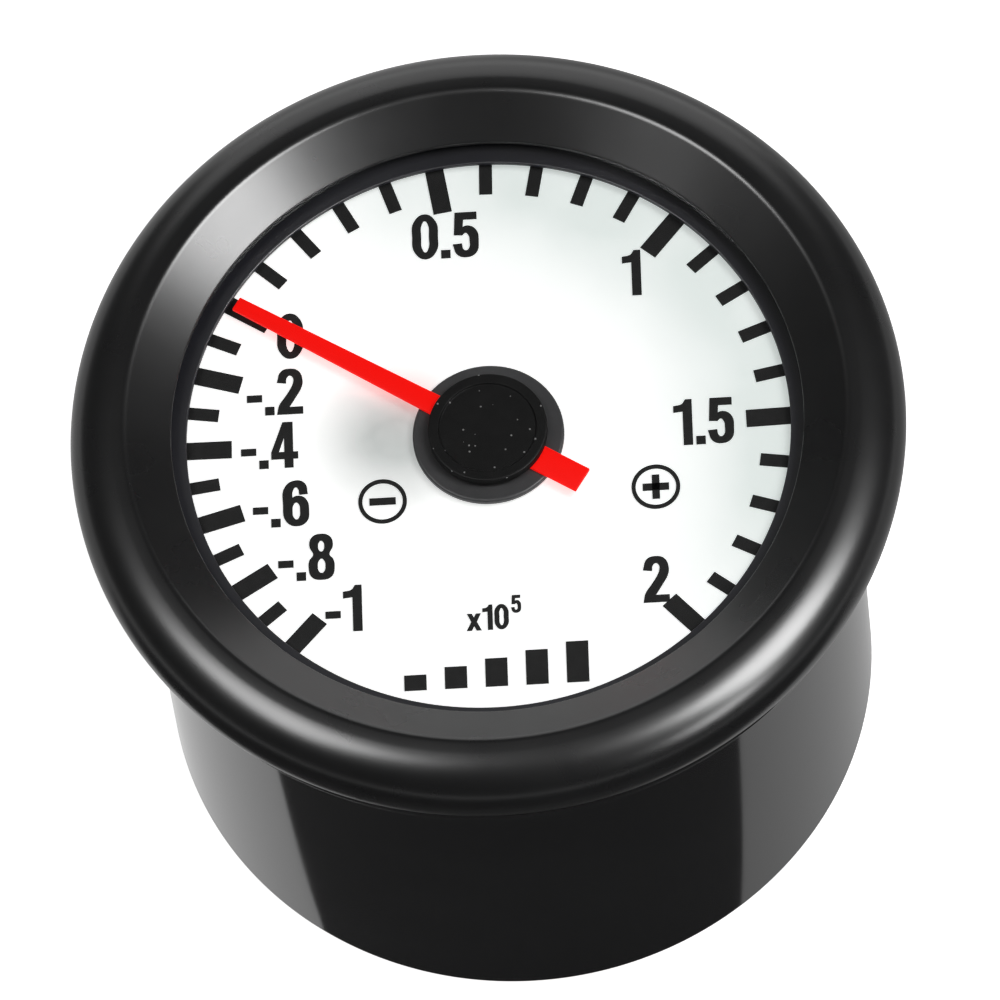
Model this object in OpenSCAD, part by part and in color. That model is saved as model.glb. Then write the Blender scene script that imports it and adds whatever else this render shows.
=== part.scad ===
// Panel gauge of the 52 mm class that shows vacuum and boost pressure, with its needle movement inside.
// Lengths are in millimetres. Z runs along the barrel and out through the dial, and +Y is twelve o'clock.
// The origin lies on the barrel's axis, in the plane where the flange seats on the panel.

/* [Barrel] */
// Outside diameter of the barrel, which goes through the panel
barrel_d = 52; // [50:0.5:56]
// Length of the barrel behind the panel seat
barrel_len = 35.6; // [33:0.2:44]
// Wall of the barrel
barrel_wall = 1.8; // [1.4:0.1:2.2]
// Thickness of the closed back
back_t = 2; // [1.6:0.1:3]
// Wall round the wider mouth that holds the dial and what lies under it
mouth_wall = 1; // [0.8:0.1:1.2]
// How far the flange stands out past the barrel, on the panel
flange_w = 3.05; // [2.5:0.05:3.5]
// Thickness of the flange
flange_t = 0.8; // [0.6:0.1:1.2]

/* [Bezel] */
// How far the bezel stands out past the barrel at its widest
bezel_w = 4; // [3.6:0.1:5]
// Height of the bezel's widest line above the panel seat
bezel_wide_h = 3.9; // [3.2:0.1:4.6]
// Height of the bezel's crease, its highest line
bezel_top_h = 7; // [6:0.1:8.5]
// How far the crease lies inside the bezel's widest line
crease_w = 4.1; // [3.4:0.1:5]
// How far the bezel's lower edge lies inside its widest line
bezel_foot_w = 1.05; // [0.6:0.05:1.4]
// How far the lip that holds the lens reaches in past the barrel's outside
lip_w = 3.3; // [2.8:0.1:3.8]
// Height of the lip's upper edge
lip_h = 4.8; // [4.5:0.1:5.6]
// Thickness of the lip at its edge
lip_t = 0.3; // [0.2:0.05:0.6]
// Thickness of the seal between the bezel and the flange
seal_t = 0.8; // [0.5:0.1:1]

/* [Lens and trim ring] */
// Thickness of the lens
lens_t = 0.8; // [0.6:0.1:1.2]
// Height of the lens's crown over its rim
lens_rise = 1.5; // [1.2:0.1:2]
// Thickness of the gasket's foot under the lens
gasket_t = 0.3; // [0.2:0.05:0.5]
// How far the trim ring reaches in past the barrel's outside
trim_w = 4.3; // [3.8:0.1:4.8]
// Thickness of the trim ring's shoulder on the barrel's mouth
trim_shoulder_t = 0.6; // [0.4:0.1:0.9]
// Height of the trim ring's top over the dial
trim_h = 0.9; // [0.8:0.1:1.4]

/* [Dial and light] */
// Thickness of the dial
dial_t = 0.5; // [0.3:0.1:0.8]
// Thickness of the ink on the dial
ink_t = 0.1; // [0.05:0.05:0.15]
// Width of a long scale mark
major_w = 1.35; // [1:0.05:1.6]
// Width of a short scale mark
minor_w = 0.95; // [0.6:0.05:1.2]
// Length of a long scale mark inside the trim ring
major_len = 3.2; // [2.4:0.1:3.8]
// Length of a short scale mark inside the trim ring
minor_len = 2.1; // [1.4:0.1:2.6]
// Space between the long scale marks and the numbers
number_space = 0.45; // [0.3:0.05:0.8]
// Gap between the numbers of the vacuum scale, as a share of the step from one to the next
number_gap_share = 0.2; // [0.12:0.02:0.3]
// Thickness of the light guide under the dial
guide_t = 2; // [1.5:0.1:2.5]
// Thickness of the lamp board
board_t = 1; // [0.8:0.1:1.6]
// Width of the lamp board's ring
board_w = 8.8; // [7.8:0.2:9.8]
// Height of a lamp
lamp_h = 1; // [0.6:0.1:1.2]
// Number of lamps
lamp_count = 6; // [3:1:8]
// Gap between the lamps and the light guide
lamp_gap = 0.5; // [0.3:0.1:0.8]
// Thickness of the lamp tray's floor
tray_floor_t = 1.2; // [0.8:0.1:1.6]

/* [Pointer] */
// Gap between the needle's tip and the trim ring
needle_gap = 0.5; // [0.3:0.1:2]
// Length of the needle's tail from the axis
needle_tail = 7.9; // [6.5:0.1:9]
// Width of the needle at its tip
needle_tip_w = 1.1; // [0.6:0.1:1.4]
// Width of the needle at the hub
needle_root_w = 1.7; // [1.2:0.1:2]
// Width of the needle's tail
needle_tail_w = 2; // [1.6:0.1:2.4]
// Thickness of the needle
needle_t = 0.3; // [0.2:0.05:0.4]
// Gap between the dial and the hub
hub_gap = 0.3; // [0.2:0.05:0.4]
// Diameter of the hub's skirt
skirt_d = 10.9; // [10:0.1:12]
// Thickness of the skirt, under the needle
skirt_t = 0.5; // [0.4:0.05:0.6]
// Diameter of the cap over the needle
cap_d = 8.6; // [7.6:0.1:9.4]
// Height of the cap over the needle
cap_h = 0.7; // [0.6:0.05:0.9]

/* [Movement] */
// Distance of the sector's pivot from the pressure tube's middle line
sector_room = 5.8; // [5.4:0.1:6.2]
// Teeth of the pinion
pinion_teeth = 10; // [10:1:12]
// Teeth that the sector would have as a whole wheel
sector_teeth = 100; // [95:1:105]
// Backlash taken off each tooth
backlash = 0.03; // [0.02:0.01:0.05]
// Direction of the sector's pivot from the pointer's axis, in degrees
sector_dir = -54; // [-56:0.5:-52]
// Length of the sector's tail, from its pivot to the link's pin
tail_len = 5.1; // [4.8:0.1:5.4]
// Direction of the sector's tail at rest, in degrees
tail_dir = -33.2; // [-35:0.1:-31]
// Thickness of the two movement plates
plate_t = 1; // [0.8:0.1:1.2]
// Space between the two movement plates
plate_space = 7; // [6.6:0.1:8]
// Gap between the lamp tray and the front plate
tray_gap = 3; // [2.4:0.1:4]
// Diameter of the pointer's arbor, in modules of the gears
arbor_share = 5; // [4.2:0.1:5.4]
// Diameter of the sector's arbor
sector_arbor_d = 1.6; // [1.4:0.1:1.8]
// Diameter of the pillars between the plates
pillar_d = 2.5; // [2.2:0.1:2.8]
// Turns of the hairspring
hairspring_turns = 5; // [3:0.5:5]
// Gap between the hairspring and the nearest pillar
hairspring_room = 0.7; // [0.6:0.1:1.4]
// Thickness of the hairspring's strip
hairspring_t = 0.15; // [0.1:0.01:0.18]
// Width of the hairspring's strip
hairspring_w = 0.6; // [0.4:0.1:0.8]

/* [Pressure tube and block] */
// Width of the flattened pressure tube along the barrel
tube_w = 5; // [4:0.1:5.4]
// Thickness of the flattened pressure tube
tube_t = 1.6; // [1.4:0.1:2]
// Wall of the pressure tube
tube_wall = 0.25; // [0.2:0.05:0.35]
// Room between the pressure tube and the barrel, for its flexing
tube_room = 4.4; // [4:0.1:4.8]
// Width of the socket block
block_w = 12; // [11.4:0.1:13]
// Distance of the port from the pressure tube's middle line
port_step = 7; // [6.4:0.1:7.6]
// Diameter of the threaded stem that goes through the back
stem_d = 8; // [7.4:0.1:8.4]
// Length of the stem behind the barrel
stem_len = 5.4; // [5:0.1:6.4]
// Diameter of the air passage through the block
passage_d = 2.4; // [1.8:0.1:2.8]

/* [Back] */
// How far the studs and the hose tail stand out behind the barrel
rear_reach = 18.4; // [17:0.2:26]
// Diameter of the mounting studs' free ends
stud_d = 4; // [3.6:0.1:4.6]
// How much wider the studs' roots are, on each side
stud_shoulder_w = 0.5; // [0.4:0.1:0.7]
// Distance of each stud from the barrel's inside, across the barrel
stud_step = 7.2; // [6.8:0.1:8]
// Height of the studs over the barrel's axis
stud_rise = 8; // [6:0.5:9]
// Outside diameter of the hose tail where the hose seats
tail_d = 4; // [3.6:0.1:4.4]
// Height of the hose tail's barbs
barb_h = 0.4; // [0.3:0.05:0.6]
// Diameter of the lead inlet's bore
inlet_d = 4.4; // [3:0.1:5]
// Gap between the lead inlet's grommet and the barrel's inside
inlet_gap = 3.6; // [2:0.2:5]

/* [Hidden] */
$fn = 72;

// Overrun of a cut past the face that it opens
cut = 0.5;
// Gap of pieces that are pressed, screwed or soldered together
fit_gap = 0.02;
// Radial clearance of a turning pivot
run_gap = 0.04;
// Gap of a piece laid in its seat
seat_gap = 0.1;
// Radial clearance of the open pivot between the sector's tail and the link
open_gap = 0.15;

// Barrel, from the axis outwards
barrel_r = barrel_d / 2;
bore_r = barrel_r - barrel_wall;
mouth_r = barrel_r - mouth_wall;
flange_d = barrel_d + 2 * flange_w;
back_z = -barrel_len;
floor_z = back_z + back_t;

// Levels of the front pieces, from the lip inwards
lens_seat_z = lip_h - lip_t;
lens_z = lens_seat_z - lens_t;
trim_top_z = lens_z - gasket_t;
neck_z = trim_top_z - trim_shoulder_t;
dial_z = trim_top_z - trim_h;
guide_z = dial_z - dial_t;
tray_top_z = guide_z - guide_t;
board_z = tray_top_z - lamp_gap - lamp_h;
tray_floor_z = board_z - board_t;
mouth_z = tray_floor_z - tray_floor_t;

// Lens and trim ring
lens_edge_gap = 0.9;
lip_r = barrel_r - lip_w;
lens_r = barrel_r - lens_edge_gap;
dome_r = lip_r - seat_gap;
dome_ball_r = (dome_r * dome_r + lens_rise * lens_rise) / (2 * lens_rise);
dome_steps = 14;
gasket_foot_w = 1.7;
trim_r = barrel_r - trim_w;
trim_edge_t = 0.3;
trim_under_w = 1.2;

// Bezel curve
bezel_steps = 16;
foot_z = flange_t + seal_t;
bezel_bore_r = barrel_r + fit_gap;
wide_r = barrel_r + bezel_w;
foot_r = wide_r - bezel_foot_w;
crease_r = wide_r - crease_w;
seal_inset = 0.8;

// Dial: the zero mark's direction and the degrees for one bar on each side of it
zero_dir = 147.5;
vacuum_degrees = 80;
pressure_degrees = 97.5;
tenths = 10;
mark_hidden = 0.7;
mark_out_r = trim_r + mark_hidden;
major_in_r = trim_r - major_len;
minor_in_r = trim_r - minor_len;
vacuum_number_inset = 2.6;
vacuum_number_r = major_in_r - vacuum_number_inset;
vacuum_numbers = ["-.2", "-.4", "-.6", "-.8", "-1"];
pressure_numbers = ["0", "0.5", "1", "1.5", "2"];
number_step = 2 * vacuum_number_r * sin(vacuum_degrees / len(vacuum_numbers) / 2);
number_h = number_step * (1 - number_gap_share);
figure_w_share = 0.55;
figure_stroke_share = 0.17;
figure_gap_share = 0.1;
point_share = 0.175;
dash_w_share = 0.33;
dash_t_share = 0.14;
sign_d = 3.5;
sign_line = 0.3;
sign_bar = 0.55;
sign_bar_len = 1.9;
minus_sign_shares = [-0.42, -0.25];
plus_sign_shares = [0.64, -0.25];
factor_shares = [0, -0.77];
factor_h = 1.9;
power_share = 0.7;
level_shares = [0, -1.065];
level_bars = 5;
level_bar_w = 1.6;
level_pitch = 2.9;
level_low_h = 1.2;
level_high_h = 3.2;
dial_hole_d = 4;

// Lamp tray and board
tray_wall = 1;
tray_r = mouth_r - seat_gap;
tray_in_r = tray_r - tray_wall;
guide_hole_d = 6;
board_r = tray_in_r - seat_gap;
lamp_w = 2.8;
lamp_len = 3.5;
board_in_d = 2 * (board_r - board_w);
lamp_r = board_r - board_w / 2;
resistor_w = 1.2;
resistor_len = 2;
resistor_h = 0.5;
resistor_count = 3;

// Pointer, from the dial outwards
skirt_z = dial_z + hub_gap;
needle_z = skirt_z + skirt_t;
cap_z = needle_z + needle_t;
cap_top_z = cap_z + cap_h;
needle_len = trim_r - needle_gap;
cap_rim_w = 0.8;
cap_dish_d = cap_d - 2 * cap_rim_w;
cap_dish_t = 0.15;
cap_wall = 0.3;
arbor_top_z = cap_top_z - cap_wall - cap_dish_t;

// Pressure tube's middle radius, which the movement and the port follow
tube_r = bore_r - tube_room - tube_t / 2;
port_offset = tube_r - port_step;

// Movement levels
front_top_z = mouth_z - tray_gap;
front_z = front_top_z - plate_t;
back_top_z = front_z - plate_space;
back_plate_z = back_top_z - plate_t;
middle_z = (front_z + back_top_z) / 2;

// Gears, as involutes
pressure_angle = 20;
centre_distance = tube_r - sector_room;
gear_module = 2 * centre_distance / (pinion_teeth + sector_teeth);
arbor_d = arbor_share * gear_module;
arbor_hole_r = arbor_d / 2 + fit_gap;
sector_x = centre_distance * cos(sector_dir);
sector_y = centre_distance * sin(sector_dir);
pinion_addendum_share = 1;
sector_addendum_share = 0.6;
root_clearance_share = 0.25;
flank_steps = 5;
sector_t = 1;
sector_z = back_top_z + 1.6;
pinion_extra = 0.5;
sector_first = -8;
sector_last = 4;
sector_rim_w = 1.5;
sector_spoke_w = 1.8;
sector_hub_d = 4.6;
sector_boss_d = 3.4;
sector_boss_h = 1.2;

// Link and its two pins
pin_d = 0.8;
link_t = 0.8;
link_end_d = 2.2;
link_w = 1.4;
link_z = sector_z + sector_t + seat_gap;
pin_head_d = 1.4;
pin_head_t = 0.3;
tail_w = 2.4;
tip_inset = 1;
tip_dir = -28;
tail_x = sector_x + tail_len * cos(tail_dir);
tail_y = sector_y + tail_len * sin(tail_dir);

// Pressure tube
tube_end_dir = -20.3;
tube_seat = 4;
tube_root_dir = -90 - asin((block_w / 2 - tube_seat) / tube_r);
tube_sweep = 360 + tube_root_dir - tube_end_dir;
tip_x = (tube_r - tip_inset) * cos(tip_dir);
tip_y = (tube_r - tip_inset) * sin(tip_dir);
tip_cap_turn = 3;
tip_cap_wall = 0.2;
tip_gap_turn = 0.15;
tip_cap_dir = tube_end_dir - tip_gap_turn - tip_cap_turn;
tip_ear_r = 0.8;
tube_slot_turn = 24;

// Movement plates: the pillars' places as shares of the gears' centre distance
pillar_shares = [[0.87, -0.27], [-0.42, 0.32], [-0.49, -0.83]];
plate_edge = 2.2;
foot_len = 5.5;
screw_head_t = 0.8;
screw_head_d = 2.8;
screw_slot_w = 0.35;
screw_slot_t = 0.35;
plate_screw_d = 1.2;
plate_screw_len = 3;
spigot_d = 1.6;
bush_d = 3.2;
bush_len = 1.4;
bush_end_t = 0.2;
end_shake = 0.05;

// Hairspring
collet_d = 3;
collet_h = 1.4;
collet_gap = 0.9;
collet_z = sector_z + sector_t + pinion_extra + collet_gap;
hairspring_r = norm(pillar_shares[1]) * centre_distance - pillar_d / 2 - hairspring_room;
hairspring_z = collet_z + (collet_h - hairspring_w) / 2;
hairspring_in_r = collet_d / 2 + hairspring_t / 2 + fit_gap;
hairspring_steps = 24;
hairspring_stud_d = 0.7;
hairspring_end_dir = -100;

// Socket block, seen from the port outwards
block_back_wall = 2.5;
block_front_wall = 1.6;
block_ledge_w = 3.1;
block_base_reach = 6;
block_top_wall = 0.5;
block_base_h = 8.6;
block_back_y = -tube_r - tube_t / 2 - block_back_wall;
block_front_y = -tube_r + tube_t / 2 + block_front_wall;
block_ledge_y = block_front_y + block_ledge_w;
block_base_y = -port_offset + block_base_reach;
block_top_z = middle_z + tube_w / 2 + block_top_wall;
cross_z = floor_z + 4;
side_passage_d = 1;
stem_end_z = back_z - stem_len;
stem_wall = 1.4;
stem_bore_d = stem_d - 2 * stem_wall;
stem_bore_len = 5;
movement_screw_x = block_w / 2 - 2;
movement_screw_y = block_front_y + block_ledge_w / 2;
movement_screw_d = 1.6;
movement_screw_len = 4;
block_screw_x = block_w / 2 - 1.6;
block_screw_y = block_back_y + 2;
block_screw_d = 2;
block_screw_len = 5;
block_screw_head_d = 3.6;
block_screw_head_t = 1.4;

// Port and hose tail
hex_sides = 6;
port_washer_w = 2.2;
port_washer_d = stem_d + 2 * port_washer_w;
port_washer_t = 0.8;
port_nut_w = 2;
port_nut_af = stem_d + 2 * port_nut_w;
port_nut_t = 3.2;
tail_hex_w = 0.5;
tail_hex_af = stem_d + 2 * tail_hex_w;
tail_hex_t = 2;
tail_end_z = back_z - rear_reach;
tail_wall = 1;
tail_bore_d = tail_d - 2 * tail_wall;
barb_d = tail_d + 2 * barb_h;
barb_count = 2;
barb_cone_len = 1.4;
barb_land_len = 0.8;

// Studs and their nuts
stud_x = bore_r - stud_step;
stud_root_d = stud_d + 2 * stud_shoulder_w;
stud_head_w = 2;
stud_head_d = stud_root_d + 2 * stud_head_w;
stud_head_t = 1.5;
stud_washer_w = 2.2;
stud_washer_d = stud_root_d + 2 * stud_washer_w;
stud_washer_t = 0.8;
stud_nut_w = 1.5;
stud_nut_af = stud_root_d + 2 * stud_nut_w;
stud_nut_t = 3.2;
stud_root_past = 0.4;
stud_root_z = back_z - stud_washer_t - stud_nut_t - stud_root_past;
stud_chamfer = 0.4;

// Lead inlet
grommet_wall = 1.8;
grommet_lip_w = 1.6;
grommet_neck_d = inlet_d + 2 * grommet_wall;
grommet_d = grommet_neck_d + 2 * grommet_lip_w;
grommet_lip_t = 1.2;
inlet_offset = bore_r - grommet_d / 2 - inlet_gap;

// A pipe or washer between two levels
module ring(outer_d, inner_d, low, high) {
    difference() {
        translate([0, 0, low])
            cylinder(d = outer_d, h = high - low);
        translate([0, 0, low - cut])
            cylinder(d = inner_d, h = high - low + 2 * cut);
    }
}

// A rod between two levels
module rod(rod_d, low, high) {
    translate([0, 0, low])
        cylinder(d = rod_d, h = high - low);
}

// A flat bar with round ends between two points
module bar(from, to, width) {
    span = to - from;
    translate(from)
        circle(d = width);
    translate(to)
        circle(d = width);
    translate(from)
        rotate(atan2(span[1], span[0]))
            translate([0, -width / 2])
                square([norm(span), width]);
}

// A flat outline with rounded corners, round centres given anticlockwise
module rounded_outline(corners, edge_r) {
    count = len(corners);
    outward = [for (i = [0 : count - 1])
        let (span = corners[(i + 1) % count] - corners[i])
        [span[1], -span[0]] * edge_r / norm(span)];
    polygon([for (i = [0 : count - 1], end = [0, 1]) corners[(i + end) % count] + outward[i]]);
    for (p = corners)
        translate(p)
            circle(r = edge_r);
}

// A hexagon nut between two levels, with its bore
module nut(across_flats, bore_d, low, high) {
    difference() {
        translate([0, 0, low])
            cylinder(d = across_flats / cos(180 / hex_sides), h = high - low, $fn = hex_sides);
        rod(bore_d, low - cut, high + cut);
    }
}

// A slotted screw whose head sits on a level and whose shank runs down from it
module slotted_screw(head_d, head_t, shank_d, shank_len) {
    difference() {
        rod(head_d, 0, head_t);
        translate([-head_d, -screw_slot_w / 2, head_t - screw_slot_t])
            cube([2 * head_d, screw_slot_w, screw_slot_t + cut]);
    }
    rod(shank_d, -shank_len, 0);
}

// Involute of a pressure angle, in degrees
function involute(angle) = tan(angle) * 180 / PI - angle;
// Half of a tooth's thickness at a radius, in degrees
function half_tooth(teeth, r) =
    let (pitch_r = gear_module * teeth / 2)
    let (base_r = pitch_r * cos(pressure_angle))
    let (at_pitch = 90 / teeth - backlash / pitch_r * 90 / PI)
    at_pitch + involute(pressure_angle) - involute(acos(base_r / max(r, base_r)));
function polar(r, angle) = [r * cos(angle), r * sin(angle)];

// One gear tooth, pointing along +X, from its root to its tip
module tooth(teeth, root_r, tip_r) {
    base_r = gear_module * teeth / 2 * cos(pressure_angle);
    start_r = max(root_r, base_r);
    sunk_r = root_r - gear_module / 2;
    radii = [for (i = [0 : flank_steps]) start_r + (tip_r - start_r) * i / flank_steps];
    foot = half_tooth(teeth, start_r);
    polygon(concat(
        [polar(sunk_r, -foot)],
        [for (r = radii) polar(r, -half_tooth(teeth, r))],
        [for (i = [flank_steps : -1 : 0]) polar(radii[i], half_tooth(teeth, radii[i]))],
        [polar(sunk_r, foot)]
    ));
}

// Flattened section of the pressure tube, standing at its radius, grown by a given amount
module tube_section(grow) {
    end_r = tube_t / 2 + grow;
    straight = tube_w - tube_t;
    translate([tube_r, middle_z]) {
        square([2 * end_r, straight], center = true);
        for (side = [-1, 1])
            translate([0, side * straight / 2])
                circle(r = end_r);
    }
}

// The glossy barrel: a cup with a flange, a neck for the bezel and a step for the lamp tray
module barrel() {
    color([0.03, 0.03, 0.032])
        difference() {
            union() {
                rod(barrel_d, back_z, neck_z);
                rod(flange_d, 0, flange_t);
            }
            rod(2 * bore_r, floor_z, neck_z + cut);
            rod(2 * mouth_r, mouth_z, neck_z + cut);
            translate([0, -port_offset, 0])
                rod(stem_d + 2 * seat_gap, back_z - cut, floor_z + cut);
            for (side = [-1, 1]) {
                translate([side * stud_x, stud_rise, 0])
                    rod(stud_root_d + 2 * fit_gap, back_z - cut, floor_z + cut);
                translate([side * block_screw_x, block_screw_y, 0])
                    rod(block_screw_d + 2 * seat_gap, back_z - cut, floor_z + cut);
            }
            translate([0, inlet_offset, 0])
                rod(grommet_neck_d, back_z - cut, floor_z + cut);
        }
}

// The satin bezel: rounded outside, with a cone inside that runs down to the lip
module bezel() {
    low_curve = [for (i = [0 : bezel_steps]) [
        foot_r + (wide_r - foot_r) * sin(90 * i / bezel_steps),
        bezel_wide_h - (bezel_wide_h - foot_z) * cos(90 * i / bezel_steps)
    ]];
    high_curve = [for (i = [1 : bezel_steps]) [
        crease_r + (wide_r - crease_r) * cos(90 * i / bezel_steps),
        bezel_wide_h + (bezel_top_h - bezel_wide_h) * sin(90 * i / bezel_steps)
    ]];
    color([0.07, 0.07, 0.075])
        rotate_extrude()
            polygon(concat(
                [[bezel_bore_r, foot_z]],
                low_curve,
                high_curve,
                [[lip_r, lip_h], [lip_r, lens_seat_z], [bezel_bore_r, lens_seat_z]]
            ));
}

// The rubber seal in the groove between the bezel and the flange
module bezel_seal() {
    color([0.02, 0.02, 0.02])
        ring(2 * (foot_r - seal_inset), barrel_d + 2 * fit_gap, flange_t, foot_z);
}

// The clear lens: a shallow dome on a flat rim
module lens() {
    function crown(r) = sqrt(dome_ball_r * dome_ball_r - r * r) - (dome_ball_r - lens_rise);
    arc = [for (i = [0 : dome_steps]) [dome_r * i / dome_steps, crown(dome_r * i / dome_steps)]];
    color([0.9, 0.95, 0.95, 0.3])
        rotate_extrude()
            polygon(concat(
                [for (p = arc) [p[0], lens_seat_z + p[1]]],
                [[lens_r, lens_seat_z], [lens_r, lens_z]],
                [for (i = [dome_steps : -1 : 0]) [arc[i][0], lens_z + arc[i][1]]]
            ));
}

// The gasket that the lens lies in
module lens_gasket() {
    gasket_r = barrel_r - seat_gap;
    color([0.04, 0.04, 0.04]) {
        ring(2 * gasket_r, 2 * (lens_r - gasket_foot_w), trim_top_z, lens_z);
        ring(2 * gasket_r, 2 * (lens_r + seat_gap), lens_z, lens_seat_z - seat_gap);
    }
}

// The dark ring between the lens and the dial, cut back underneath
module trim_ring() {
    color([0.03, 0.03, 0.045])
        rotate_extrude()
            polygon([
                [trim_r, trim_top_z],
                [trim_r, trim_top_z - trim_edge_t],
                [trim_r + trim_under_w, dial_z],
                [mouth_r - seat_gap, dial_z],
                [mouth_r - seat_gap, neck_z],
                [barrel_r - seat_gap, neck_z],
                [barrel_r - seat_gap, trim_top_z]
            ]);
}

// The white dial
module dial_plate() {
    color([0.96, 0.97, 0.96])
        ring(2 * (mouth_r - seat_gap), dial_hole_d, guide_z, dial_z);
}

// One printed scale mark
module scale_mark(dir, long_mark) {
    in_r = long_mark ? major_in_r : minor_in_r;
    width = long_mark ? major_w : minor_w;
    rotate(dir)
        translate([in_r, -width / 2, dial_z])
            cube([mark_out_r - in_r, width, ink_t]);
}

// All scale marks: every tenth of a bar, longer at each number
module scale_marks() {
    color([0.02, 0.02, 0.02]) {
        for (i = [0 : tenths])
            scale_mark(zero_dir + vacuum_degrees * i / tenths, i % 2 == 0);
        for (i = [1 : 2 * tenths])
            scale_mark(zero_dir - pressure_degrees * i / tenths, i % 5 == 0);
    }
}

// A slot shape with round ends, standing up
module pill(width, height) {
    square([width, height - width], center = true);
    for (side = [-1, 1])
        translate([0, side * (height - width) / 2])
            circle(d = width);
}

// An upright loop of a given stroke
module loop(width, height, stroke) {
    difference() {
        pill(width, height);
        pill(width - 2 * stroke, height - 2 * stroke);
    }
}

// Width of a character for a number's height
function character_w(character, h) =
    h * (character == "." ? point_share : character == "-" ? dash_w_share : figure_w_share);

// One figure, centred on its own place
module figure(character, h) {
    w = character_w(character, h);
    stroke = h * figure_stroke_share;
    bowl_share = 0.6;
    hook_share = 0.3;
    bowl_h = h * bowl_share;
    bowl_y = (bowl_h - h) / 2;
    hook_h = h * hook_share;
    if (character == "0")
        loop(w, h, stroke);
    if (character == "1") {
        translate([0, -h / 2])
            square([stroke, h]);
        translate([-stroke, h / 2 - 2 * stroke])
            square([1.5 * stroke, stroke]);
    }
    if (character == "2") {
        intersection() {
            loop(w, h, stroke);
            translate([-w, h / 2 - hook_h])
                square([2 * w, hook_h]);
        }
        polygon([
            [w / 2, h / 2 - hook_h],
            [w / 2 - stroke, h / 2 - hook_h],
            [-w / 2, -h / 2 + stroke / 2],
            [-w / 2, -h / 2],
            [-w / 2 + stroke, -h / 2]
        ]);
        translate([-w / 2, -h / 2])
            square([w, stroke]);
    }
    if (character == "4") {
        translate([w / 2 - 1.5 * stroke, -h / 2])
            square([stroke, h]);
        translate([-w / 2, -h / 2 + stroke])
            square([w, stroke]);
        polygon([
            [-w / 2, -h / 2 + stroke],
            [-w / 2 + stroke, -h / 2 + 2 * stroke],
            [w / 2 - stroke, h / 2],
            [w / 2 - 1.5 * stroke, h / 2],
            [-w / 2, -h / 2 + 2 * stroke]
        ]);
    }
    if (character == "5") {
        translate([-w / 2, h / 2 - stroke])
            square([w, stroke]);
        translate([-w / 2, bowl_y])
            square([stroke, h / 2 - bowl_y]);
        difference() {
            translate([0, bowl_y])
                loop(w, bowl_h, stroke);
            translate([-w, bowl_y - hook_h / 2])
                square([w, hook_h / 2]);
        }
    }
    if (character == "6") {
        translate([0, bowl_y])
            loop(w, bowl_h, stroke);
        difference() {
            loop(w, h, stroke);
            translate([0, -h / 2])
                square([w, h - hook_h]);
            translate([-w, -h])
                square([2 * w, h + bowl_y]);
        }
    }
    if (character == "8")
        for (side = [-1, 1])
            translate([0, side * (h - stroke) / 4])
                loop(w, (h + stroke) / 2, stroke);
    if (character == "x")
        for (side = [-1, 1])
            rotate(side * 45)
                square([w, stroke], center = true);
    if (character == ".")
        translate([0, (w - h) / 2])
            square(w, center = true);
    if (character == "-")
        square([w, h * dash_t_share], center = true);
}

// Where a character starts, from a number's left end
function pen(number, i, h) =
    i == 0 ? 0 : pen(number, i - 1, h) + character_w(number[i - 1], h) + h * figure_gap_share;

// Width of a whole number
function line_w(number, h) = pen(number, len(number), h) - h * figure_gap_share;

// A number printed on the dial, centred
module number_line(number, h) {
    for (i = [0 : len(number) - 1])
        translate([pen(number, i, h) + character_w(number[i], h) / 2 - line_w(number, h) / 2, 0])
            figure(number[i], h);
}

// A number at its mark's direction, a set space inside the mark
module scale_number(number, dir) {
    reach = norm([line_w(number, number_h) * cos(dir), number_h * sin(dir)]) / 2;
    translate(concat(polar(major_in_r - number_space - reach, dir), [dial_z]))
        linear_extrude(ink_t)
            number_line(number, number_h);
}

// The numbers of both scales
module scale_numbers() {
    color([0.02, 0.02, 0.02]) {
        for (i = [0 : len(pressure_numbers) - 1])
            scale_number(pressure_numbers[i], zero_dir - pressure_degrees * i / 2);
        for (i = [0 : len(vacuum_numbers) - 1])
            scale_number(vacuum_numbers[i],
                zero_dir + vacuum_degrees * (i + 1) / len(vacuum_numbers));
    }
}

// A sign in a thin circle
module sign(upright) {
    difference() {
        circle(d = sign_d);
        circle(d = sign_d - 2 * sign_line);
    }
    square([sign_bar_len, sign_bar], center = true);
    if (upright)
        square([sign_bar, sign_bar_len], center = true);
}

// Signs for the two sides, the scale's factor of ten to the fifth, and a row of rising bars
module dial_signs() {
    factor_w = character_w("0", factor_h);
    power_h = factor_h * power_share;
    color([0.02, 0.02, 0.02])
        translate([0, 0, dial_z])
            linear_extrude(ink_t) {
                translate(minus_sign_shares * major_in_r)
                    sign(false);
                translate(plus_sign_shares * major_in_r)
                    sign(true);
                translate(factor_shares * major_in_r) {
                    number_line("x10", factor_h);
                    translate([2 * factor_w + character_w("5", power_h) / 2, factor_h / 2])
                        figure("5", power_h);
                }
                translate(level_shares * major_in_r)
                    for (i = [0 : level_bars - 1])
                        translate([(i - (level_bars - 1) / 2) * level_pitch - level_bar_w / 2, 0])
                            square([level_bar_w,
                                level_low_h + (level_high_h - level_low_h) * i / (level_bars - 1)]);
            }
}

// The clear disc that carries the lamps' light under the dial
module light_guide() {
    color([0.85, 0.92, 0.95, 0.6])
        ring(2 * (mouth_r - seat_gap), guide_hole_d, tray_top_z, guide_z);
}

// The lamp board, a ring round the movement
module lamp_board() {
    color([0.05, 0.3, 0.12])
        ring(2 * board_r, board_in_d, tray_floor_z, board_z);
}

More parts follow.
